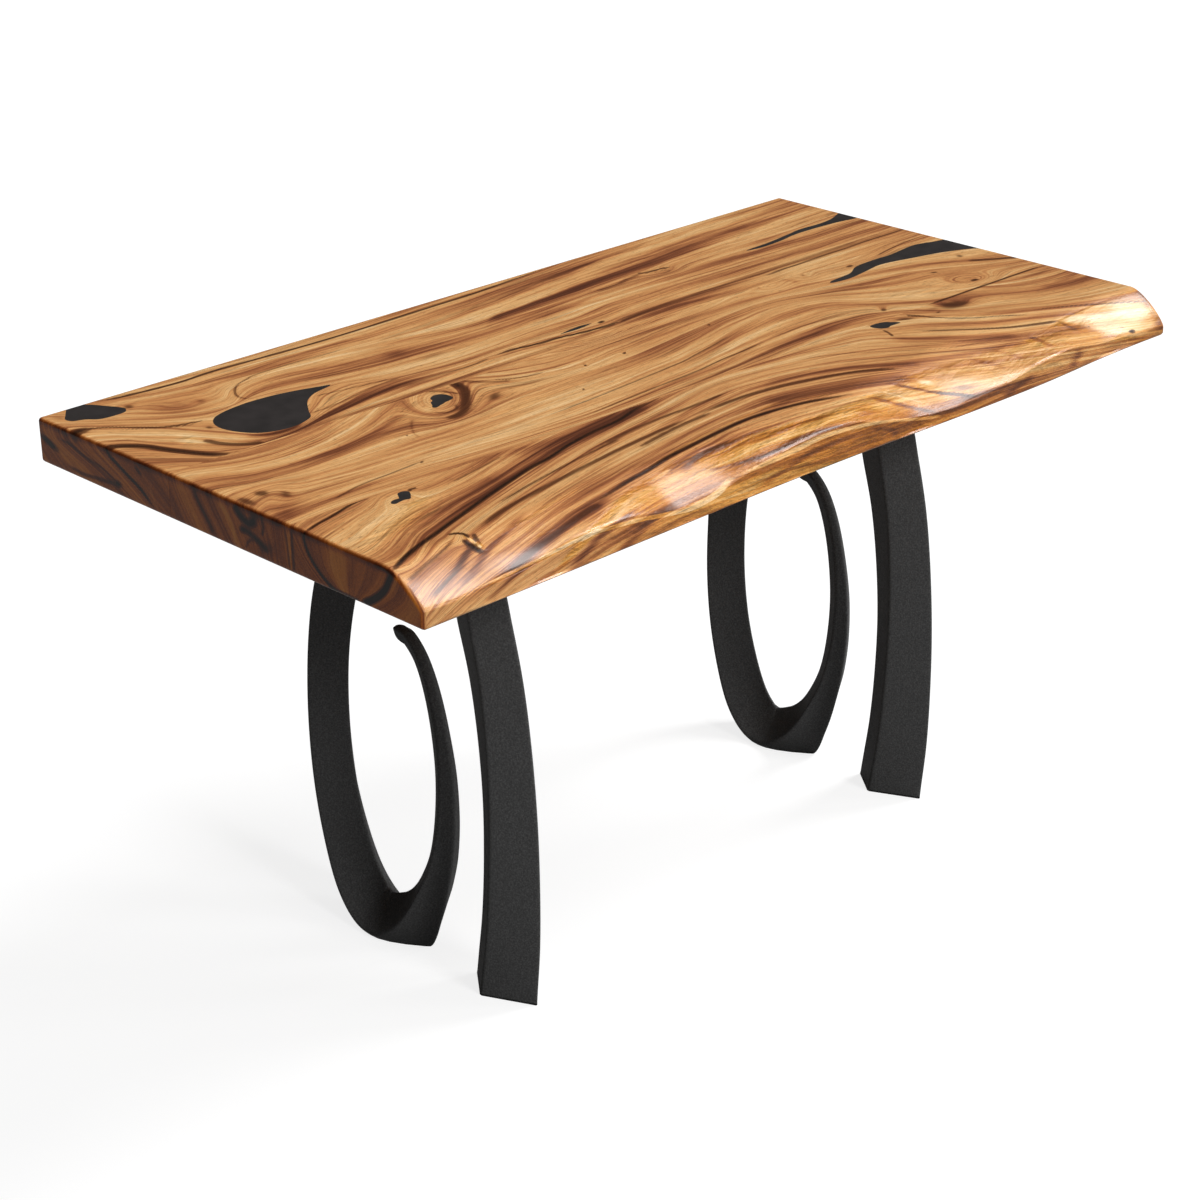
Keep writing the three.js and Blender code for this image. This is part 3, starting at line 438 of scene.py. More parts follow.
        (0.5, 0.1, 2, 2, [(-330, 125), (-240, 124), (-190, 121), (-140, 127)]),
        (0.35, 0.55, 5, 18, [(60, 108), (110, 116), (200, 119), (400, 122), (770, 124)]),
        (0.3, 0.35, 5, 10, [(-560, 92), (-300, 96), (-100, 97), (60, 104)]),
        (0.6, 0, 2, 2, [(360, 104), (450, 108), (600, 111), (770, 113)]),
        (0, 0.4, 16, 16, [(160, 162), (300, 156), (420, 152), (560, 150), (770, 150)]),
        (0.2, 0.6, 5, 22, [(-55, 232), (-30, 247), (0, 255), (100, 262), (200, 271), (300, 280), (400, 290),
            (550, 297), (770, 303)]),
        (0.35, 0.4, 4, 8, [(140, 232), (190, 232), (225, 240), (262, 244)]),
        (0.8, 0, 2, 2, [(254, 250), (262, 242), (285, 240), (312, 235)]),
        (0.35, 0, 2, 2, [(268, 226), (280, 234), (298, 226), (285, 220), (270, 226)]),
        (0.1, 0.3, 3, 6, [(0, 201), (60, 204), (130, 199), (200, 192)]),
        (0.35, 0.1, 2, 2, [(290, 338), (340, 342), (375, 346)]),
        (0.35, 0.1, 2, 2, [(490, 342), (560, 345), (600, 347)]),
        (0.2, 0.25, 3, 6, [(-420, 320), (-300, 322), (-220, 318)]),
        (0.2, 0.25, 4, 8, [(400, 345), (520, 350), (770, 356)]),
        (0.1, 0.25, 4, 7, [(-260, 262), (-150, 266), (-60, 276), (0, 282)]),
    ],
}

# Half-width of the thinnest streak that the boards' points can carry, millimetres
THINNEST = 3.2

# Marks that don't follow a line, for each board, three of them painted sheen on the live edge: how dark, how
# brown, how pale, then centre x and y, half-length and half-width in millimetres, and turn in degrees
MARKS = {
    "front_board": [
        (0.55, 0.4, 0, (455, -178, 30, 18, -10)), (0.3, 0.3, 0, (425, -168, 26, 12, 0)),
        (0.5, 0.3, 0, (358, -168, 18, 7, -30)), (0.5, 0.2, 0, (414, -183, 7, 3, 10)),
        (0, -0.25, 0.35, (-610, -225, 90, 30, 12)), (0, -0.2, 0.3, (-555, -190, 34, 10, 10)),
        (0, -0.3, 0.3, (430, -230, 60, 14, -42)), (1.4, 0, 0, (529, -426, 6, 4, 25)),
        (0.5, 0.2, 0, (533, -405, 5, 6, 20)), (0.35, 0.3, 0, (550, -437, 8, 5, 0)),
        (0.45, 0.1, 0, (508, -369, 5, 3, 30)), (0.4, 0.5, 0, (192, -400, 24, 13, -20)),
        # Painted sheen: the pale marks at (176, -352), (-518, -362) and (-294, -370) stand in for glossy
        # highlights on the live edge's slope
        (0, -0.2, 0.8, (176, -352, 14, 18, 0)), (0.1, 0.5, 0, (40, -366, 18, 12, 20)),
        (0.2, 0.5, 0, (-435, -366, 30, 12, 25)), (0, -0.1, 0.6, (-518, -362, 28, 5, 8)),
        (0, 0, 0.3, (-294, -370, 34, 14, 15)), (0, 0.3, 0, (-600, -395, 110, 40, 20)),
        (0, 0.45, -0.6, (600, -442, 130, 22, 10)), (0, 0.25, 0, (-420, -420, 110, 30, 10)),
        (0, -0.2, 0.6, (580, -380, 48, 30, 30)),
    ],
    "middle_board": [
        (0, -0.3, 0.5, (-719, -54, 5, 7, 0)), (0.7, 0.4, 0, (-708, -72, 6, 9, 0)),
        (0.3, 0.4, 0, (-740, -98, 9, 12, 0)), (0.5, 0.4, 0, (-690, -45, 9, 20, 0)),
        (0.55, 0.3, 0, (-662, -38, 10, 11, 20)), (0.4, 0.3, 0, (-643, -60, 8, 16, -20)),
        (0.2, 0.45, 0, (-680, -105, 34, 16, 40)), (0.1, 0.45, 0, (-292, 42, 62, 34, 48)),
        (0.75, 0.3, 0, (-252, 76, 9, 18, -20)), (0.45, 0.3, 0, (-248, 10, 20, 10, 30)),
        (0, -0.4, 0.3, (-337, 36, 9, 6, 40)), (0, -0.25, 0.25, (-230, -35, 110, 18, 3)),
        (0, -0.2, 0.2, (440, -95, 60, 22, -48)), (0.9, 0.1, 0, (-83, 12, 3, 2.5, 40)),
        (0.9, 0.1, 0, (-12, 10, 4, 2.5, 40)), (0.7, 0.1, 0, (153, 10, 4, 2.5, 40)),
        (0.7, 0.1, 0, (-150, -53, 3.5, 2, 40)), (0.7, 0.1, 0, (-465, -97, 4, 2.5, 40)),
        (0.6, 0.1, 0, (-418, -16, 4, 2, 60)), (1, 0.1, 0, (567, -127, 7, 4, -10)),
        (0.6, 0.1, 0, (555, -62, 7, 3.5, -20)), (0.5, 0.2, 0, (645, -38, 7, 7, 0)),
        (0.6, 0.2, 0, (370, -121, 8, 5, 40)), (0.6, 0.2, 0, (494, 47, 9, 5, 10)),
        (0, 0.2, 0, (120, 20, 120, 26, 4)),
    ],
    "back_board": [
        (1.2, 0.2, 0, (-728, 348, 5, 20, -18)), (0.9, 0.3, 0, (-744, 202, 5, 9, 0)),
        (0.9, 0.2, 0, (-714, 156, 3, 9, -35)), (0.8, 0.3, 0, (-694, 289, 18, 11, 0)),
        (0.15, 0.45, 0, (-562, 262, 44, 22, -30)), (0.3, 0.3, 0, (-520, 268, 9, 10, 0)),
        (0.5, 0.3, 0, (-597, 318, 9, 9, 0)), (0.3, 0.3, 0, (-682, 346, 8, 16, 20)),
        (0, -0.5, 0.4, (-614, 164, 12, 20, -10)), (0.45, 0.2, 0, (-571, 183, 6, 8, 0)),
        (0, 0.35, 0, (-226, 232, 18, 14, 0)), (0.5, 0.1, 0, (-234, 168, 4, 2.5, 0)),
        (1, 0, 0, (59, 126, 7, 3.5, 10)), (0, 0.4, 0, (40, 225, 80, 24, 2)),
        (0.2, 0.3, 0, (285, 226, 26, 12, 0)), (0.15, 0.4, 0, (505, 226, 34, 7, 3)),
        (0, -0.25, 0.2, (140, 210, 60, 10, -4)), (0, -0.2, 0.15, (-470, 330, 160, 18, 0)),
    ],
}

# The sapwood's border on the live edge, places (x, y), and how pale it is beyond, places (x, share)
SAPWOOD_BORDER = [
    (-800, -520), (-600, -486), (-520, -434), (-430, -390), (-362, -356), (-300, -331), (-258, -322),
    (-217, -314), (-154, -313), (-71, -323), (-8, -331), (54, -331), (83, -329), (137, -326), (158, -318),
    (221, -318), (275, -329), (346, -337), (387, -340), (425, -335), (492, -323), (546, -319), (600, -317),
    (800, -315),
]
SAPWOOD_SHARE = [
    (-800, 0.1), (-500, 0.35), (-300, 0.7), (-100, 0.8), (150, 0.6), (300, 0.45), (430, 0.5), (484, 0.65),
    (500, 1.05), (640, 1.05), (700, 0.9),
]

# How far the figure leans under the top and the live edge, per millimetre of depth: along at the middle of
# the board, how much that changes per millimetre along it, and across
LEAN = {
    "front_board": (-2.03, -0.00085, -1.7),
    "middle_board": (0.0, 0.0, 0.3),
    "back_board": (0.0, 0.0, 0.8),
}


def cubic(share, start, start_slope, end, end_slope):
    """A cubic from start to end with the given slopes at both, at a share of the way from 0 to 1."""
    square, cube = share ** 2, share ** 3
    return (
        (2 * cube - 3 * square + 1) * start
        + (cube - 2 * square + share) * start_slope
        + (3 * square - 2 * cube) * end
        + (cube - square) * end_slope
    )


def spline(points, at, closed=False, power=0.0):
    """A smooth curve through points, at places from 0 to 1. Between two neighbours it is the cubic whose end
    slopes come from the points on either side. With power 0 all gaps count alike; with power 1/2 a gap counts
    as the root of its length, which keeps short gaps from looping."""
    points = np.asarray(points, float)
    count = len(points)
    place = np.asarray(at, float) * (count if closed else count - 1)
    first = np.floor(place).astype(int)
    if not closed:
        first = np.clip(first, 0, count - 2)
        ring = np.vstack([2 * points[0] - points[1], points, 2 * points[-1] - points[-2]])
        corners = [ring[first + step] for step in range(4)]
    else:
        corners = [points[(first + step) % count] for step in (-1, 0, 1, 2)]
    share = (place - first)[..., None]
    p0, p1, p2, p3 = corners
    gap0, gap1, gap2 = (
        np.maximum(np.linalg.norm(b - a, axis=-1, keepdims=True), 1e-9) ** power
        for a, b in ((p0, p1), (p1, p2), (p2, p3))
    )
    slope1 = ((p1 - p0) / gap0 - (p2 - p0) / (gap0 + gap1) + (p2 - p1) / gap1) * gap1
    slope2 = ((p2 - p1) / gap1 - (p3 - p1) / (gap1 + gap2) + (p3 - p2) / gap2) * gap1
    return cubic(share, p1, slope1, p2, slope2)


def height_through(places, x):
    """The smooth line y(x) through a few places (x, y): a cubic between neighbours, whose slope at each place
    is that of the chord over it, and level beyond both ends."""
    px, py = np.array(places, float).T
    chord = np.gradient(py, px)
    i = np.clip(np.searchsorted(px, x) - 1, 0, len(px) - 2)
    gap = px[i + 1] - px[i]
    share = np.clip((x - px[i]) / gap, 0, 1)
    return cubic(share, py[i], gap * chord[i], py[i + 1], gap * chord[i + 1])


def smooth_step(low, high, value):
    """0 below low, 1 above high, and an even S between them."""
    share = np.clip((value - low) / (high - low), 0, 1)
    return share * share * (3 - 2 * share)


def end_share(x):
    """1 on the end faces of the top, 0 from 5 mm before them."""
    return smooth_step(END_X / MM - 5, END_X / MM - 0.5, np.abs(x))


def new_piece(name, points, faces, node=None):
    """A mesh object from points in metres and faces, which rides on the CAD node that it replaces."""
    mesh = bpy.data.meshes.new(name)
    mesh.from_pydata([tuple(point) for point in points], [], [tuple(face) for face in faces])
    piece = bpy.data.objects.new(name, mesh)
    bpy.context.scene.collection.objects.link(piece)
    if node:
        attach(piece, "root")
        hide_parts(node)
    return piece


def shell(block):
    """The closed skin of a block of points [along, across, up]: each of its six sides is a grid of quads, and
    neighbouring sides share their border points."""
    index = np.arange(block[..., 0].size).reshape(block.shape[:3])
    sides = [
        index[:, :, -1], index[:, ::-1, 0], index[-1, :, :],
        index[0, ::-1, :], index[::-1, -1, :], index[:, 0, :],
    ]
    quads = [
        np.stack([side[:-1, :-1], side[1:, :-1], side[1:, 1:], side[:-1, 1:]], axis=-1).reshape(-1, 4)
        for side in sides
    ]
    faces = np.concatenate(quads)
    used, faces = np.unique(faces, return_inverse=True)
    return block.reshape(-1, 3)[used], faces.reshape(-1, 4)


def finish_mesh(piece, sharp_angle, work=None):
    """Welds a piece, does further work on it if asked, turns its faces outwards and shades it smooth, with
    edges sharper than sharp_angle kept sharp."""
    mesh = piece.data
    edit = bmesh.new()
    edit.from_mesh(mesh)
    bmesh.ops.remove_doubles(edit, verts=edit.verts, dist=WELD)
    if work:
        work(edit)
    bmesh.ops.recalc_face_normals(edit, faces=edit.faces)
    for face in edit.faces:
        face.smooth = True
    for edge in edit.edges:
        edge.smooth = len(edge.link_faces) != 2 or edge.calc_face_angle(0) < sharp_angle
    edit.to_mesh(mesh)
    edit.free()


def combine(piece, other, how):
    """Cuts other out of piece, or keeps what both hold, and leaves the result in piece's mesh."""
    boolean = piece.modifiers.new("cut", "BOOLEAN")
    boolean.operation = how
    boolean.solver = "EXACT"
    boolean.object = other
    shaped = piece.evaluated_get(bpy.context.evaluated_depsgraph_get())
    result = bpy.data.meshes.new_from_object(shaped)
    piece.modifiers.clear()
    old, piece.data = piece.data, result
    bpy.data.meshes.remove(old)


def prism(name, outline, low_z, high_z):
    """An upright prism over a plan outline (x, y): two rings of points, closed by a floor and a lid."""
    count = len(outline)
    low = np.column_stack([outline, np.full(count, low_z)])
    high = np.column_stack([outline, np.full(count, high_z)])
    ring = np.arange(count)
    after = (ring + 1) % count
    faces = np.column_stack([ring, after, after + count, ring + count]).tolist()
    faces += [ring[::-1].tolist(), (ring + count).tolist()]
    piece = new_piece(name, np.vstack([low, high]) * MM, faces)
    finish_mesh(piece, PRISM_SHARP)
    return piece


def join(pieces, name):
    """One object from several that don't touch."""
    with bpy.context.temp_override(active_object=pieces[0], selected_editable_objects=pieces):
        bpy.ops.object.join()
    pieces[0].name = name
    return pieces[0]


# The boards

def seam_y(widths, from_edge, x):
    """A glue seam's place across the top, straight from the left end to the right end."""
    share = x / (2 * END_X / MM) + 0.5
    return from_edge(widths[0] + (widths[1] - widths[0]) * share)


def front_seam(x):
    return seam_y(FRONT_WIDTH, lambda width: width - BACK_Y / MM, x)


def back_seam(x):
    return seam_y(BACK_WIDTH, lambda width: BACK_Y / MM - width, x)


def live_edge_at(x):
    """Height of the upright face, run of the slope and the face's set-back at places along the top: the
    smooth curve through the live edge's stations, read off where it reaches each x."""
    fine = spline(LIVE_EDGE_SHARES, np.linspace(0, 1, 4001))
    length, thickness = 2 * END_X / MM, (TOP_Z - UNDERSIDE_Z) / MM
    along = (fine[:, 0] - 0.5) * length
    sizes = ((1, thickness), (2, EDGE_RUN), (3, EDGE_WAVE))
    return [np.interp(x, along, fine[:, column] * size) for column, size in sizes]


def along_places(settings):
    """Stations along a board, closer where its ends are rounded, and how far each section draws in."""
    end, arris = END_X / MM, settings.arris
    turn = np.linspace(0, math.pi / 2, 6)
    inner = np.linspace(-(end - arris), end - arris, int(2 * end / settings.grid))
    rounded = end - arris + arris * np.sin(turn[1:])
    x = np.concatenate([-rounded[::-1], inner, rounded])
    over = np.clip((np.abs(x) - (end - arris)) / arris, 0, 1)
    return x, arris * (1 - np.sqrt(1 - over ** 2))


def outward(line, up):
    """The unit direction across a section line along +Y, towards the top (up 1) or underside (-1)."""
    slope = np.gradient(line, axis=1)
    across = np.stack([-slope[..., 1], slope[..., 0]], axis=-1) * up
    return across / np.linalg.norm(across, axis=-1, keepdims=True)


def board_block(x, draw_in, top, bottom, layers):
    """The block of points between a board's top line and bottom line, both (y, z) for each station. The ends
    are rounded: near them each section's outside draws in along its own outward direction."""
    top = top - outward(top, 1) * draw_in[:, None, None]
    bottom = bottom - outward(bottom, -1) * draw_in[:, None, None]
    share = np.linspace(0, 1, layers)[None, None, :, None]
    section = bottom[:, :, None] * (1 - share) + top[:, :, None] * share
    along = np.broadcast_to(x[:, None, None, None], section.shape[:3] + (1,))
    return np.concatenate([along, section], axis=-1)


def even_points(lines, count):
    """Section lines (y, z) with their points spread out again evenly along each line."""
    length = np.linalg.norm(np.diff(lines, axis=1), axis=-1).cumsum(axis=1)
    length = np.hstack([np.zeros((len(lines), 1)), length])
    spread = np.empty((len(lines), count, 2))
    for row, (line, along) in enumerate(zip(lines, length)):
        for axis in range(2):
            spread[row, :, axis] = np.interp(np.linspace(0, along[-1], count), along, line[:, axis])
    return spread


def quarter(steps):
    """Sine and 1 - cosine over a quarter turn, from 0 to 1."""
    turn = np.linspace(0, math.pi / 2, steps)
    return np.sin(turn), 1 - np.cos(turn)


def edge_lumps(x, share):
    """The uneven skin of the live edge, in millimetres outwards: three slow waves along it that lean with the
    place down the slope, fading out at the top and at the underside."""
    waves = (
        1.5 * np.sin(x / 61 + 2.6 * share + 0.4)
        + 1.1 * np.sin(x / 34 - 3.5 * share + 1.9)
        + 0.6 * np.sin(x / 17 + 5.0 * share + 0.8)
    )
    return waves * np.sin(math.pi * np.clip(share, 0, 1)) ** 0.8


def front_lines(x, settings):
    """The front board's section. The top line starts on the upright face, climbs the slope as a cubic that
    leaves upright and arrives level, and runs flat to the seam. The bottom line rounds the face's foot."""
    low, high = UNDERSIDE_Z / MM, TOP_Z / MM
    face, run, set_back = live_edge_at(x)
    face_y = (set_back - BACK_Y / MM)[:, None]
    seam = (front_seam(x) - GLUE_LINE / 2)[:, None]
    face_z = low + face[:, None]
    run = run[:, None]
    t = np.linspace(0, 1, 60)[None, :]
    weights = [(1 - t) ** 3, 3 * t * (1 - t) ** 2, 3 * t * t * (1 - t), t ** 3]
    slope_y = sum(w * c for w, c in zip(weights, (face_y, face_y, face_y + EDGE_LEAN * run, face_y + run)))
    slope_z = sum(w * c for w, c in zip(weights, (face_z, face_z + EDGE_ROUND, high, high)))
    slope = np.stack([slope_y, slope_z], axis=-1)
    slope += outward(slope, 1) * edge_lumps(x[:, None], 0.35 + 0.65 * t)[..., None]
    last = np.stack([seam, np.full_like(seam, high)], axis=-1)
    top = even_points(np.concatenate([slope, last], axis=1), settings.across)
    sine, rise = quarter(5)
    foot_y = face_y + EDGE_FOOT * rise[None, :]
    foot_z = np.broadcast_to(low + EDGE_FOOT * (1 - sine)[None, :], foot_y.shape)
    rest = top.shape[1] - len(sine)
    rest_y = foot_y[:, -1:] + (seam - foot_y[:, -1:]) * np.linspace(0, 1, rest + 1)[None, 1:]
    bottom_y = np.hstack([foot_y, rest_y])
    bottom = np.stack([bottom_y, np.hstack([foot_z, np.full_like(rest_y, low)])], axis=-1)
    bottom[:, 0, 0] = top[:, 0, 0]
    return top, bottom


def middle_lines(x, settings):
    """The middle board's section: two level lines from seam to seam."""
    share = np.linspace(0, 1, settings.across)[None, :]
    low_y = (front_seam(x) + GLUE_LINE / 2)[:, None]
    high_y = (back_seam(x) - GLUE_LINE / 2)[:, None]
    y = low_y + (high_y - low_y) * share
    return [np.stack([y, np.full_like(y, z / MM)], axis=-1) for z in (TOP_Z, UNDERSIDE_Z)]


def back_lines(x, settings):
    """The back board's section: level from the seam, then a quarter round down, or up, to the back face."""
    sine, drop = quarter(6)
    arris = settings.arris
    seam = (back_seam(x) + GLUE_LINE / 2)[:, None]
    edge = BACK_Y / MM - arris
    share = np.linspace(0, 1, settings.across - len(sine) + 1)[None, :]
    flat_y = seam + (edge - seam) * share
    round_y = np.broadcast_to(edge + arris * sine[None, 1:], (len(x), len(sine) - 1))
    y = np.hstack([flat_y, round_y])
    fall = np.concatenate([np.zeros(flat_y.shape[1]), arris * drop[1:]])[None, :] * np.ones((len(x), 1))
    return [np.stack([y, z / MM - turn * fall], axis=-1) for z, turn in ((TOP_Z, 1), (UNDERSIDE_Z, -1))]


def figure_place(board, points):
    """Where on the top the figure of each point comes from, as (x, y) in millimetres: up along its leaning
    layer. On the end faces the figure goes on beyond the end, as far as the point is deep."""
    x, y, z = points.T
    along, change, across = LEAN[board]
    depth = TOP_Z / MM - z
    end = end_share(x)
    along = (along + change * x) * (1 - end) + np.sign(x) * end
    return np.stack([x + along * depth, y + across * (1 - end) * depth], axis=-1)


def grain_map(board, places):
    """The grain at places (x, y): the distance along it, the level across it and that level again without the
    knots, in millimetres. The level is read between the board's flow lines, and each knot swells it by a bell
    shape."""
    x, y = places.T
    levels = np.array([level for level, _ in FLOW[board]], float)
    lines = np.stack([height_through(line, x) for _, line in FLOW[board]])
    lines = np.maximum.accumulate(lines + np.arange(len(levels))[:, None] * 1e-3, axis=0)
    below = np.clip((lines < y[None, :]).sum(0) - 1, 0, len(levels) - 2)
    column = np.arange(len(x))
    low, high = lines[below, column], lines[below + 1, column]
    share = (y - low) / np.maximum(high - low, 4.0)
    level = levels[below] + (levels[below + 1] - levels[below]) * share
    swollen = level.copy()
    for shape in KNOTS[board]:
        swollen += shape[5] * bell(x, y, *shape[:5])
    return np.stack([x, swollen, level], axis=-1)


def bell(x, y, cx, cy, long, wide, turn):
    """A bell shape over an ellipse: 1 at its centre, a third at its rim."""
    cosine, sine = math.cos(math.radians(turn)), math.sin(math.radians(turn))
    along = ((x - cx) * cosine + (y - cy) * sine) / long
    across = ((y - cy) * cosine - (x - cx) * sine) / wide
    return np.exp(-(along ** 2 + across ** 2))


def streak_field(points, places, left, right, least):
    """How much of a streak each point (x, y) has: 1 near the smooth line through places, falling evenly to 0
    around the distance left on its left side and right on its right side, and fading at both ends. least is
    the smallest such distance at each point."""
    line = spline(places, np.linspace(0, 1, 14 * (len(places) - 1) + 1))
    margin = 1.25 * max(left, right, least.max())
    low, high = line.min(0) - margin, line.max(0) + margin
    near = np.flatnonzero(((points > low) & (points < high)).all(1))
    field = np.zeros(len(points))
    if len(near) == 0:
        return field
    heading = np.gradient(line, axis=0)
    heading /= np.linalg.norm(heading, axis=1, keepdims=True)
    gap = ((points[near, None] - line[None]) ** 2).sum(-1)
    closest = gap.argmin(1)
    offset = points[near] - line[closest]
    side = heading[closest, 0] * offset[:, 1] - heading[closest, 1] * offset[:, 0]
    past = np.abs((heading[closest] * offset).sum(1))
    inside = (closest > 0) & (closest < len(line) - 1)
    distance = np.where(inside, np.abs(side), np.hypot(side, past))
    place = closest / (len(line) - 1)
    fade = smooth_step(0, 0.15, place) * smooth_step(0, 0.15, 1 - place)
    reach = np.maximum(np.where(side > 0, left, right), least[near])
    field[near] = np.clip(1.25 - distance / reach, 0, 1) * (0.25 + 0.75 * fade)
    return field


def wood_figure(board, places, least):
    """How brown, how dark and how pale the wood is at places (x, y); pale also carries the painted highlights
    and painted sheen on the live edge. Brown and pale add up over the streaks and marks, and of dark the
    strongest counts.
    Beyond its border the sapwood is pale. least is the smallest half-width of a streak at each place."""
    figure = np.zeros((len(places), 4))

    def draw(dark, brown, pale, field):
        figure[:, 0] += brown * field
        figure[:, 1] = np.maximum(figure[:, 1], dark * field)
        figure[:, 2] += pale * field

    for dark, brown, left, right, line in STREAKS[board]:
        draw(dark, brown, max(-dark, 0), streak_field(places, line, left, right, least))
    for dark, brown, pale, shape in MARKS[board]:
        draw(dark, brown, pale, bell(*places.T, *shape))
    if board == "front_board":
        depth = height_through(SAPWOOD_BORDER, places[:, 0]) - places[:, 1]
        figure[:, 2] += smooth_step(-5, 9, depth) * height_through(SAPWOOD_SHARE, places[:, 0])
    return figure


def dress_wood(piece, board):
    """Gives a board its grain as two UV maps, with and without the knots, and its figure as a colour, painted
    highlights on the live edge included.
    """
    mesh = piece.data
    count = len(mesh.vertices)
    points = np.empty(count * 3, np.float32)
    mesh.vertices.foreach_get("co", points)
    points = points.reshape(-1, 3).astype(float) / MM
    places = figure_place(board, points)
    end = end_share(points[:, 0])
    depth = TOP_Z / MM - points[:, 2]
    steep = smooth_step(0, 8, depth) * (1 - end) * (board == "front_board")
    grain, figure = grain_map(board, places), wood_figure(board, places, THINNEST * (1 + 0.9 * steep))
    figure[:, 0] += 0.6 * end * np.exp(-(((depth - 5) / 3.5) ** 2))
    figure[:, 3] = end
    corner = np.empty(len(mesh.loops), np.int32)
    mesh.loops.foreach_get("vertex_index", corner)
    while mesh.uv_layers:
        mesh.uv_layers.remove(mesh.uv_layers[0])
    for name, columns in (("grain", [0, 1]), ("fibre", [0, 2])):
        layer = mesh.uv_layers.new(name=name)
        layer.data.foreach_set("uv", (grain[:, columns][corner] * MM).astype(np.float32).ravel())
    attribute = mesh.attributes.new("figure", "FLOAT_COLOR", "POINT")
    attribute.data.foreach_set("color", figure.astype(np.float32).ravel())


# Materials

def linear(text):
    """An sRGB hex colour as linear red, green, blue and alpha."""
    parts = [int(text[i : i + 2], 16) / 255 for i in (1, 3, 5)]
    return [part / 12.92 if part <= 0.04045 else ((part + 0.055) / 1.055) ** 2.4 for part in parts] + [1.0]


def add(tree, kind, settings=None, **inputs):
    """Adds a node to a tree. settings are its own properties. Each input is given by its name, with _ for a
    space, or by _ and its number, and is a value or the output that feeds it."""
    node = tree.nodes.new(kind)
    for name, value in (settings or {}).items():
        setattr(node, name, value)
    for name, value in inputs.items():
        socket = node.inputs[int(name[1:])] if name[0] == "_" else node.inputs[name.replace("_", " ")]
        if isinstance(value, bpy.types.NodeSocket):
            tree.links.new(value, socket)
        else:
            socket.default_value = value
    return node


def ramp(tree, factor, stops):
    """A colour ramp from (place, hex colour) stops."""
    node = add(tree, "ShaderNodeValToRGB", Fac=factor)
    points = node.color_ramp.elements
    while len(points) > 1:
        points.remove(points[-1])
    for number, (place, colour) in enumerate(stops):
        point = points[0] if number == 0 else points.new(place)
        point.position = place
        point.color = linear(colour)
    return node.outputs["Color"]


def new_material(name):
    """A material with an empty tree, its surface shader and that shader's tree."""
    material = bpy.data.materials.new(name)
    tree = cleared_tree(material)
    shader = add(tree, "ShaderNodeBsdfPrincipled")
    add(tree, "ShaderNodeOutputMaterial", Surface=shader.outputs["BSDF"])
    return material, tree, shader


def powder_coat(settings):
    """Black polyester powder coat baked on cast iron: a fine even grit that scatters the light, so the facets
    read as soft greys."""
    material, tree, shader = new_material("powder_coat_fine_texture")
    place = add(tree, "ShaderNodeTexCoord").outputs["Object"]
    grit = add(tree, "ShaderNodeTexNoise", Vector=place, Scale=1 / (settings.grit * MM), Detail=3.0)
    tone = ramp(tree, grit.outputs["Fac"], [(0.32, "#494949"), (0.5, "#565656"), (0.68, "#666666")])
    bump = add(tree, "ShaderNodeBump", Height=grit.outputs["Fac"], Strength=0.45, Distance=0.0008)
    tree.links.new(tone, shader.inputs["Base Color"])
    tree.links.new(bump.outputs["Normal"], shader.inputs["Normal"])
    shader.inputs["Roughness"].default_value = settings.coat_roughness
    shader.inputs["Specular IOR Level"].default_value = 0.15
    return material


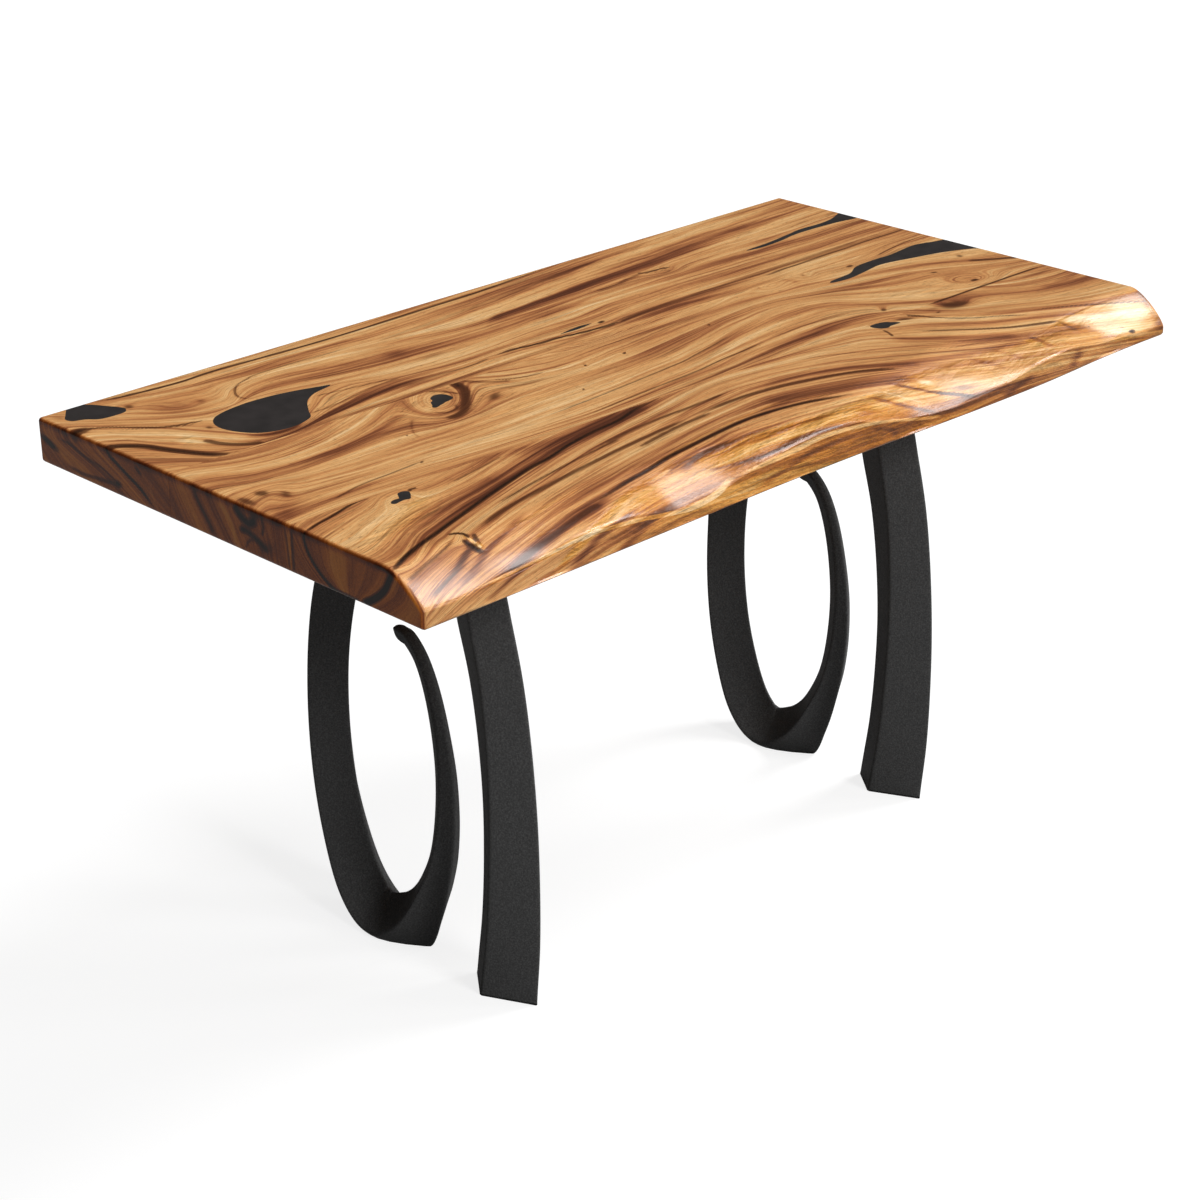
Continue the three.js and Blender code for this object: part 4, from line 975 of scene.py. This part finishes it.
def wood(settings):
    """Solid rain-tree hardwood, planed, sanded and oiled: streaks that follow the grain map, brown heartwood,
    golden sapwood, fine dark pores and a clear oil film with a satin gloss. The pale live edge is uneven,
    with painted highlights and painted sheen in cream-white. The ends are cut across the pores, so they drink
    more oil: their figure is softer and darker."""
    material, tree, shader = new_material("oiled_hardwood")

    def math_node(operation, first, second=0.0, third=0.0):
        return add(tree, "ShaderNodeMath", {"operation": operation}, _0=first, _1=second, _2=third).outputs[0]

    def noise(vector, scale, detail, roughness=0.5):
        """Noise whose features are stretched by their own scale along each axis."""
        mapped = add(tree, "ShaderNodeMapping", Vector=vector, Scale=scale).outputs["Vector"]
        return add(tree, "ShaderNodeTexNoise", Vector=mapped, Scale=1.0, Detail=detail,
                   Roughness=roughness).outputs["Fac"]

    def grain_noise(vector, along, across, detail, roughness=0.5):
        """Noise with features along and across the grain of the given sizes in millimetres."""
        return noise(vector, (1 / (along * MM), 1 / (across * MM), 1.0), detail, roughness)

    def step(value, low, high):
        return add(tree, "ShaderNodeMapRange", {"interpolation_type": "SMOOTHSTEP"}, Value=value,
                   From_Min=low, From_Max=high).outputs["Result"]

    def blend(factor, first, second):
        return add(tree, "ShaderNodeMix", {"data_type": "RGBA"}, _0=factor, _6=first, _7=second).outputs[2]

    grain = add(tree, "ShaderNodeUVMap", {"uv_map": "grain"}).outputs["UV"]
    plain = add(tree, "ShaderNodeUVMap", {"uv_map": "fibre"}).outputs["UV"]
    figure = add(tree, "ShaderNodeAttribute", {"attribute_name": "figure"})
    parts = add(tree, "ShaderNodeSeparateColor", Color=figure.outputs["Color"])
    brown, dark, pale = parts.outputs
    end = figure.outputs["Alpha"]

    # The grain wanders a few millimetres off its map
    wander = math_node("MULTIPLY_ADD", grain_noise(grain, 160, 60, 2.0), 0.014, -0.007)
    shift = add(tree, "ShaderNodeCombineXYZ", Y=wander).outputs[0]
    grain = add(tree, "ShaderNodeVectorMath", {"operation": "ADD"}, _0=grain, _1=shift).outputs[0]
    band = grain_noise(grain, 620, 34, 3.0, 0.55)
    line = grain_noise(grain, 330, 7, 4.0, 0.6)
    thread = grain_noise(grain, 240, 2.2, 2.0)
    fibre = grain_noise(plain, 45, 1.1, 2.0)

    tone = math_node("MULTIPLY_ADD", band, 1.15, -0.125)
    tone = math_node("MULTIPLY_ADD", line, 0.8, math_node("SUBTRACT", tone, 0.4))
    tone = math_node("MULTIPLY_ADD", thread, 0.44, math_node("SUBTRACT", tone, 0.22))
    tone = math_node("MULTIPLY_ADD", brown, 0.36, tone)
    heart = ramp(tree, tone, [
        (0.14, "#f9d39d"), (0.32, "#e9b577"), (0.46, "#d7995e"), (0.58, "#b57547"), (0.70, "#874e2f"),
        (0.86, "#532b1b")])
    sap = ramp(tree, tone, [
        (0.16, "#f6ca88"), (0.34, "#e0a04c"), (0.48, "#c2792f"), (0.62, "#935422"), (0.80, "#5a3219")])
    # Pale sapwood, and the painted highlights and painted sheen of the live edge, both come from the figure's
    # pale channel: above a share near 1 the colour turns cream-white
    pale_and_painted_sheen = math_node("MULTIPLY_ADD", line, 0.5, math_node("SUBTRACT", pale, 0.25))
    colour = blend(step(pale_and_painted_sheen, 0.1, 0.75), heart, sap)
    cream_and_painted_sheen = ramp(tree, tone, [(0.25, "#fde0b4"), (0.45, "#f3c07e"), (0.7, "#d08b3e")])
    white = step(pale_and_painted_sheen, 0.95, 1.35)
    colour = blend(white, colour, cream_and_painted_sheen)

    # Thin dark growth lines where a stretched noise crosses its middle value, in patches
    growth = grain_noise(grain, 900, 15, 3.0, 0.6)
    ridge = math_node("ABSOLUTE", math_node("SUBTRACT", growth, 0.5))
    thin = math_node("SUBTRACT", 1.0, step(ridge, 0.0, 0.022))
    patch = step(grain_noise(grain, 260, 40, 1.0), 0.48, 0.62)
    thin = math_node("MULTIPLY", math_node("MULTIPLY", thin, patch), 0.5)
    colour = blend(thin, colour, linear("#5e3820"))

    # The drawn streaks, feathered by the fibres: brown at their border and nearly black inside
    feather = math_node("MULTIPLY_ADD", line, 0.5, 0.75)
    feather = math_node("MULTIPLY", dark, feather)
    feather = math_node("MULTIPLY_ADD", fibre, 0.16, math_node("SUBTRACT", feather, 0.08))
    drawn = math_node("MULTIPLY", step(feather, 0.16, 0.48), step(dark, 0.02, 0.2))
    colour = blend(math_node("MULTIPLY", drawn, 0.82), colour, linear("#45230f"))
    inside = math_node("MULTIPLY", step(feather, 0.5, 0.85), 0.96)
    colour = blend(inside, colour, linear("#190b06"))

    # Fibres and pores: pores are 0.2 mm wide, drawn 0.8 mm wide so that they show
    shown = math_node("MULTIPLY_ADD", white, -0.3, 0.42)
    colour = blend(math_node("MULTIPLY", step(fibre, 0.42, 0.8), shown), colour, linear("#6b3d1e"))
    pore = step(grain_noise(plain, 11, 0.8, 1.0), 0.6, 0.7)
    pore = math_node("MULTIPLY", pore, math_node("SUBTRACT", 1.0, end))
    colour = blend(math_node("MULTIPLY", pore, 0.5), colour, linear("#55331d"))

    # The end grain: the same figure, softer, with fine specks in place of fibres
    place = add(tree, "ShaderNodeTexCoord").outputs["Object"]
    speck = add(tree, "ShaderNodeTexNoise", Vector=place, Scale=1 / (1.6 * MM), Detail=2.0).outputs["Fac"]
    soft = math_node("MULTIPLY_ADD", band, 1.15, math_node("MULTIPLY_ADD", brown, 0.36, -0.46))
    soft = math_node("MULTIPLY_ADD", line, 0.45, soft)
    across = ramp(tree, math_node("MULTIPLY_ADD", speck, 0.24, soft), [
        (0.15, "#ffa545"), (0.4, "#cf7129"), (0.58, "#974817"), (0.8, "#4a1d0b")])
    across = blend(math_node("MULTIPLY", step(pale, 0.1, 0.9), 0.6), across, linear("#e89a4e"))
    across = blend(math_node("MULTIPLY", drawn, 0.75), across, linear("#4a2210"))
    across = blend(inside, across, linear("#190b06"))
    colour = blend(end, colour, across)

    # The surface: fibres and pores, and hollows and fine chatter where the live edge is pale
    height = math_node("MULTIPLY_ADD", pore, -0.6, fibre)
    bump = add(tree, "ShaderNodeBump", Height=height, Strength=0.35, Distance=0.0004).outputs["Normal"]
    hollow = noise(place, (14.0, 48.0, 40.0), 2.0)
    chatter = noise(place, (110.0, 300.0, 300.0), 2.0)
    ripple = math_node("MULTIPLY_ADD", chatter, 0.16, hollow)
    uneven = math_node("MULTIPLY", step(pale_and_painted_sheen, -0.2, 0.8), math_node("SUBTRACT", 1.0, end))
    ripple = math_node("MULTIPLY", math_node("SUBTRACT", ripple, 0.58), uneven)
    bump = add(tree, "ShaderNodeBump", Height=ripple, Strength=1.0, Distance=0.012, Normal=bump)
    gloss = math_node("MULTIPLY_ADD", line, 0.12, settings.gloss_roughness - 0.06)
    tree.links.new(colour, shader.inputs["Base Color"])
    tree.links.new(bump.outputs["Normal"], shader.inputs["Normal"])
    tree.links.new(gloss, shader.inputs["Roughness"])
    shader.inputs["Specular IOR Level"].default_value = 0.14
    shader.inputs["Coat Weight"].default_value = settings.oil
    shader.inputs["Coat Roughness"].default_value = 0.2
    return material


def resin():
    """Black epoxy, poured into the voids and sanded level with the wood: smooth, with a soft gloss."""
    material, tree, shader = new_material("black_resin")
    place = add(tree, "ShaderNodeTexCoord").outputs["Object"]
    cloud = add(tree, "ShaderNodeTexNoise", Vector=place, Scale=40.0, Detail=3.0)
    tone = ramp(tree, cloud.outputs["Fac"], [(0.3, "#2a2726"), (0.7, "#353130")])
    tree.links.new(tone, shader.inputs["Base Color"])
    shader.inputs["Roughness"].default_value = 0.35
    shader.inputs["Specular IOR Level"].default_value = 0.25
    return material


def fine_finish(name, first, second, grain, metallic, roughness):
    """A small part's finish: two close tones in a fine grain of the given size in millimetres."""
    material, tree, shader = new_material(name)
    place = add(tree, "ShaderNodeTexCoord").outputs["Object"]
    cloud = add(tree, "ShaderNodeTexNoise", Vector=place, Scale=1 / (grain * MM), Detail=3.0)
    tone = ramp(tree, cloud.outputs["Fac"], [(0.35, first), (0.65, second)])
    bump = add(tree, "ShaderNodeBump", Height=cloud.outputs["Fac"], Strength=0.2, Distance=0.0003)
    tree.links.new(tone, shader.inputs["Base Color"])
    tree.links.new(bump.outputs["Normal"], shader.inputs["Normal"])
    shader.inputs["Metallic"].default_value = metallic
    shader.inputs["Roughness"].default_value = roughness
    return material


def dress(piece, material):
    """Makes a material the only one of a piece."""
    piece.data.materials.clear()
    piece.data.materials.append(material)


# Settings that a user would change

class TopSettings(bpy.types.PropertyGroup):
    """Sizes and finish of the top."""

    arris: FloatProperty(name="Arris", description="Radius of the rounded edges, mm", default=5.0,
                         min=1, max=12)
    grid: FloatProperty(name="Grid", description="Spacing of the points along the boards, mm", default=3.15,
                        min=2)
    across: IntProperty(name="Across", description="Points across a board", default=82, min=20)
    layers: IntProperty(name="Layers", description="Points up the sides of a board", default=22, min=2)
    oil: FloatProperty(name="Oil", description="How much of a clear oil film lies on the wood", default=0.35)
    gloss_roughness: FloatProperty(
        name="Roughness", description="Roughness of the oiled wood", default=0.36, subtype="FACTOR")


class LegSettings(bpy.types.PropertyGroup):
    """Sizes and finish of the cast legs."""

    reach: FloatProperty(name="Reach", description="Half-width that the stroke's shares refer to",
                         default=0.4, subtype="DISTANCE", unit="LENGTH")
    bar: FloatProperty(name="Bar", description="Width that the section's shares refer to",
                       default=0.1, subtype="DISTANCE", unit="LENGTH")
    corner: FloatProperty(name="Corner", description="Rounding of the section's corners",
                          default=0.004, subtype="DISTANCE", unit="LENGTH")
    steps: IntProperty(name="Steps", description="Sections between two stations", default=12, min=2)
    grit: FloatProperty(name="Grit", description="Size of the powder coat's grit, mm", default=2.2, min=0.2)
    coat_roughness: FloatProperty(name="Roughness", description="Roughness of the powder coat", default=0.6,
                                  subtype="FACTOR")


class StudioSettings(bpy.types.PropertyGroup):
    """Camera and light."""

    camera_place: FloatVectorProperty(name="Camera", description="Where the camera stands", unit="LENGTH",
                                      subtype="TRANSLATION", default=(-2.394, -2.370, 1.9115))
    yaw: FloatProperty(name="Yaw", description="Turn from +Y towards +X, degrees", default=44.41)
    pitch: FloatProperty(name="Pitch", description="Tilt below level, degrees", default=24.29)
    roll: FloatProperty(name="Roll", description="Lean, degrees", default=-0.589)
    lens: FloatProperty(name="Lens", description="Focal length, mm on a 36 mm sensor", default=79.5)
    key: FloatProperty(name="Key", description="Strength of the light from the right, W/m2", default=2.7)
    fill: FloatProperty(name="Fill", description="Strength of the light from the front, W/m2", default=1.5)
    edge: FloatProperty(name="Edge", description="Strength of the light on the live edge, W/m2", default=0.55)
    room: FloatProperty(name="Room", description="Strength of the light from all around", default=0.2)


class TABLE_OT_studio(bpy.types.Operator):
    """Adds the floor, the lamps and the camera"""

    bl_idname = "table.studio"
    bl_label = "Studio"

    def execute(self, context):
        settings = context.scene.table_studio
        scene = context.scene
        scene.view_settings.view_transform = "Standard"
        add_camera(scene, settings)
        add_floor()
        add_soft_light("key", (0.64, -0.2, 0.7), 24, settings.key)
        add_soft_light("fill", (0.0, -0.85, 0.53), 18, settings.fill)
        add_soft_light("edge", (0.62, -0.64, 0.45), 15, settings.edge)
        add_room(scene, settings.room)
        return {"FINISHED"}


def cleared_tree(owner):
    """Turns on the node tree of a world or a material and empties it."""
    owner.use_nodes = True
    owner.node_tree.nodes.clear()
    return owner.node_tree


def ray_kinds(tree):
    """Whether a ray comes from the camera, and whether it was mirrored or let through on its way."""
    ray = add(tree, "ShaderNodeLightPath")
    mirrored = add(tree, "ShaderNodeMath", {"operation": "MAXIMUM"},
                   _0=ray.outputs["Is Glossy Ray"], _1=ray.outputs["Is Transmission Ray"])
    return ray.outputs["Is Camera Ray"], mirrored.outputs[0]


def add_room(scene, strength):
    """A white room. The camera sees it in full, mirrored rays see it bright in front and dim behind, and it
    lights the rest with the given strength."""
    scene.world = bpy.data.worlds.new("room")
    tree = cleared_tree(scene.world)
    camera, mirrored = ray_kinds(tree)
    place = add(tree, "ShaderNodeTexCoord").outputs["Generated"]
    front = add(tree, "ShaderNodeVectorMath", {"operation": "DOT_PRODUCT"}, _0=place, _1=(0.3, -0.88, 0.37))
    front = add(tree, "ShaderNodeMapRange", {"interpolation_type": "SMOOTHSTEP"}, From_Min=-0.1, From_Max=1.0,
                To_Min=0.04, Value=front.outputs["Value"])
    level = add(tree, "ShaderNodeMapRange", Value=mirrored, To_Min=strength, To_Max=1.0)
    level = add(tree, "ShaderNodeMath", {"operation": "MULTIPLY"}, _0=level.outputs["Result"],
                _1=front.outputs["Result"])
    level = add(tree, "ShaderNodeMath", {"operation": "MAXIMUM"}, _0=camera, _1=level.outputs[0])
    light = add(tree, "ShaderNodeBackground", Color=(1, 1, 1, 1), Strength=level.outputs[0])
    add(tree, "ShaderNodeOutputWorld", Surface=light.outputs["Background"])


def add_camera(scene, settings):
    """The camera looks along its yaw and pitch, leaning by its roll."""
    yaw, pitch, roll = (math.radians(a) for a in (settings.yaw, settings.pitch, settings.roll))
    turn = Matrix.Rotation(-yaw, 4, "Z") @ Matrix.Rotation(math.pi / 2 - pitch, 4, "X")
    turn = turn @ Matrix.Rotation(roll, 4, "Z")
    data = bpy.data.cameras.new("camera")
    data.lens = settings.lens
    data.sensor_width = 36.0
    data.clip_end = 60.0
    camera = bpy.data.objects.new("camera", data)
    camera.matrix_world = Matrix.Translation(settings.camera_place) @ turn
    scene.collection.objects.link(camera)
    scene.camera = camera


def add_floor():
    """A wide pale floor that shows white to the camera and keeps the table's shadow."""
    half = 20.0
    points = [(-half, -half, 0), (half, -half, 0), (half, half, 0), (-half, half, 0)]
    floor = new_piece("floor", points, [(0, 1, 2, 3)])
    material = bpy.data.materials.new("studio_floor")
    tree = cleared_tree(material)
    camera, mirrored = ray_kinds(tree)
    matt = add(tree, "ShaderNodeBsdfDiffuse", Color=(0.2, 0.2, 0.2, 1))
    lit = add(tree, "ShaderNodeBsdfDiffuse", Color=(0.3, 0.3, 0.3, 1))
    glow = add(tree, "ShaderNodeEmission", Color=(1, 1, 1, 1), Strength=0.82)
    seen = add(tree, "ShaderNodeAddShader", _0=lit.outputs[0], _1=glow.outputs[0])
    share = add(tree, "ShaderNodeMath", {"operation": "MULTIPLY_ADD"}, _0=mirrored, _1=0.2, _2=camera)
    both = add(tree, "ShaderNodeMixShader", _0=share.outputs[0], _1=matt.outputs[0], _2=seen.outputs[0])
    add(tree, "ShaderNodeOutputMaterial", Surface=both.outputs[0])
    dress(floor, material)


def add_soft_light(name, place, width, strength):
    """A distant soft light from the direction place, as wide as the given angle in degrees."""
    data = bpy.data.lights.new(name, "SUN")
    data.angle = math.radians(width)
    data.energy = strength
    lamp = bpy.data.objects.new(name, data)
    bpy.context.scene.collection.objects.link(lamp)
    lamp.rotation_euler = Vector(place).to_track_quat("Z", "Y").to_euler()


class TABLE_OT_boards(bpy.types.Operator):
    """Makes the three boards and the resin fills in them"""

    bl_idname = "table.boards"
    bl_label = "Boards and fills"

    def execute(self, context):
        settings = context.scene.table_top
        finish, poured = wood(settings), resin()
        length, width = 2 * END_X / MM, 2 * BACK_Y / MM
        low, high = UNDERSIDE_Z / MM, TOP_Z / MM
        x, draw_in = along_places(settings)
        cutters = {name: [] for name in FLOW}
        for name, place, size, depth, shares in FILLS:
            half = np.array([size[0] * length, size[1] * width]) / 2
            centre = np.array([place[0] * length, place[1] * width])
            at = np.linspace(0, 1, 12 * len(shares), endpoint=False)
            outline = centre + spline(shares, at, True, 0.5) * half
            cutters[name.split("_")[1] + "_board"].append((name, outline, high - depth))
        for board, lines in (("front_board", front_lines), ("middle_board", middle_lines),
                             ("back_board", back_lines)):
            top, bottom = lines(x, settings)
            points, faces = shell(board_block(x, draw_in, top, bottom, settings.layers))
            piece = new_piece(f"wood_{board}", points * MM, faces, board)
            finish_mesh(piece, BOARD_SHARP)
            whole = piece.data.copy()
            tools = []
            for name, outline, floor_z in cutters[board]:
                tool = prism(f"cut_{name}", outline, floor_z, high + 10)
                plug = new_piece(f"resin_{name[5:]}", [], [], name)
                plug.data = whole.copy()
                combine(plug, tool, "INTERSECT")
                dress(plug, poured)
                finish_mesh(plug, BOARD_SHARP)
                tools.append(tool)
            tool = join(tools, "cutters")
            combine(piece, tool, "DIFFERENCE")
            bpy.data.objects.remove(tool)
            finish_mesh(piece, BOARD_SHARP)
            dress_wood(piece, board)
            dress(piece, finish)
            bpy.data.meshes.remove(whole)
        return {"FINISHED"}


class TABLE_OT_legs(bpy.types.Operator):
    """Makes the two cast legs"""

    bl_idname = "table.legs"
    bl_label = "Cast legs"

    def execute(self, context):
        settings = context.scene.table_leg
        coat = powder_coat(settings)
        rings = stroke_rings(settings)
        for side in LEG_SIDES:
            place = np.array([LEG_X[side], LEG_Y, 0.0])
            points, faces = tube(rings + place)
            leg = new_piece(f"cast_leg_{side}", points, faces, f"leg_{side}")
            finish_mesh(leg, LEG_SHARP, cut_leg)
            dress(leg, coat)
            dress(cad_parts[f"mounting_plate_{side}"], coat)
        return {"FINISHED"}


def tube(rings):
    """The skin of a row of rings, open at both ends; a first ring of no size closes when it is welded."""
    rows, count = rings.shape[:2]
    index = np.arange(rows * count).reshape(rows, count)
    after = np.roll(index, -1, axis=1)
    quads = np.stack([index[:-1], after[:-1], after[1:], index[1:]], axis=-1)
    return rings.reshape(-1, 3), quads.reshape(-1, 4)


def cut_leg(edit):
    """Cuts the stroke level with the foot pads and with the mounting plate, and closes the cuts."""
    foot_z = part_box("foot_pad_left_bow")[1].z
    for place, direction in ((foot_z, (0, 0, -1)), (PLATE_LOW.z, (0, 0, 1))):
        everything = edit.verts[:] + edit.edges[:] + edit.faces[:]
        bmesh.ops.bisect_plane(edit, geom=everything, plane_co=(0, 0, place), plane_no=direction,
                               clear_outer=True)
        rim = [edge for edge in edit.edges if edge.is_boundary]
        bmesh.ops.holes_fill(edit, edges=rim, sides=0)


def stroke_rings(settings):
    """The rings of the cast stroke: a kite across the line, with its corners softened. Its inner and outer
    corners stand off the line along its normal, its side ridges along X. The free tip is capped by rings that
    shrink on a quarter circle."""
    stations = np.array(STROKE_SHARES)
    scale = np.array([settings.reach, PLATE_LOW.z])
    at = np.linspace(0, 1, (len(stations) - 1) * settings.steps + 1)
    line = spline(stations[:, :2] * scale, at)
    sizes = spline(stations[:, 2:] * settings.bar, at)
    slope = np.gradient(line, axis=0)
    slope /= np.linalg.norm(slope, axis=1, keepdims=True)
    radius = sizes[0, :2].mean()
    turn = np.linspace(math.pi / 2, 0, 10)[:-1]
    shrink, back = np.cos(turn), radius * np.sin(turn)
    centring = (1 - shrink) * (sizes[0, 0] - sizes[0, 1]) / 2
    normal0 = np.array([-slope[0, 1], slope[0, 0]])
    cap_line = line[0] - slope[0] * back[:, None] + normal0 * centring[:, None]
    line = np.vstack([cap_line, line])
    slope = np.vstack([np.repeat(slope[:1], len(turn), axis=0), slope])
    sizes = np.vstack([sizes[:1] * shrink[:, None], sizes])
    normal = np.stack([np.zeros(len(line)), -slope[:, 1], slope[:, 0]], axis=-1)
    across = np.array([1.0, 0.0, 0.0])
    inner, outer, side = (sizes[:, k, None] for k in range(3))
    corners = np.stack([normal * inner, across * side, -normal * outer, -across * side], axis=1)
    before, after = np.roll(corners, 1, axis=1), np.roll(corners, -1, axis=1)
    to_before = np.linalg.norm(corners - before, axis=-1, keepdims=True)
    to_after = np.linalg.norm(corners - after, axis=-1, keepdims=True)
    soft = np.minimum(settings.corner, np.minimum(to_before, to_after) / 3)
    start = corners + (before - corners) * soft / np.maximum(to_before, 1e-9)
    end = corners + (after - corners) * soft / np.maximum(to_after, 1e-9)
    t = np.linspace(0, 1, 5)[:, None]
    arcs = (
        (1 - t) ** 2 * start[:, :, None] + 2 * t * (1 - t) * corners[:, :, None] + t ** 2 * end[:, :, None]
    )
    following = np.roll(start, -1, axis=1)
    held = [end + (following - end) * share for share in (0.06, 0.5, 0.94)]
    ring = np.concatenate([arcs, np.stack(held, axis=2)], axis=2).reshape(len(line), -1, 3)
    centre = np.column_stack([np.zeros(len(line)), line])
    return ring + centre[:, None]


class TABLE_OT_hardware(bpy.types.Operator):
    """Finishes the pads, bolts, screws and threaded inserts"""

    bl_idname = "table.hardware"
    bl_label = "Pads and fixings"

    def execute(self, context):
        finishes = {
            "foot_pad": fine_finish("moulded_rubber", "#121212", "#1b1b1b", 1.5, 0.0, 0.85),
            "bolt": fine_finish("zinc_plated_steel", "#8d9093", "#a9acae", 0.8, 1.0, 0.38),
            "insert": fine_finish("turned_brass", "#a88a48", "#bb9c58", 0.8, 1.0, 0.4),
        }
        finishes["leg_screw"] = finishes["bolt"]
        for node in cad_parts:
            for start, material in finishes.items():
                if node.startswith(start):
                    dress(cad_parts[node], material)
        return {"FINISHED"}


class TABLE_PT_panel(bpy.types.Panel):
    """Lists the table's settings and the steps that build it"""

    bl_idname = "TABLE_PT_panel"
    bl_label = "Live-edge table"
    bl_space_type = "VIEW_3D"
    bl_region_type = "UI"
    bl_category = "Table"

    def draw(self, context):
        for group in ("table_top", "table_leg", "table_studio"):
            box = self.layout.box()
            settings = getattr(context.scene, group)
            for name in settings.__annotations__:
                box.prop(settings, name)
        for operator in OPERATORS:
            self.layout.operator(operator.bl_idname)


SETTINGS = {"table_top": TopSettings, "table_leg": LegSettings, "table_studio": StudioSettings}
OPERATORS = (TABLE_OT_studio, TABLE_OT_boards, TABLE_OT_legs, TABLE_OT_hardware)


def register():
    for name, group in SETTINGS.items():
        bpy.utils.register_class(group)
        setattr(bpy.types.Scene, name, PointerProperty(type=group))
    for part in (*OPERATORS, TABLE_PT_panel):
        bpy.utils.register_class(part)


def unregister():
    for part in reversed((*OPERATORS, TABLE_PT_panel)):
        bpy.utils.unregister_class(part)
    for name, group in SETTINGS.items():
        delattr(bpy.types.Scene, name)
        bpy.utils.unregister_class(group)


def main():
    register()
    bpy.ops.table.studio()
    bpy.ops.table.boards()
    bpy.ops.table.legs()
    bpy.ops.table.hardware()
    bpy.context.view_layer.update()


if __name__ == "__main__":
    main()
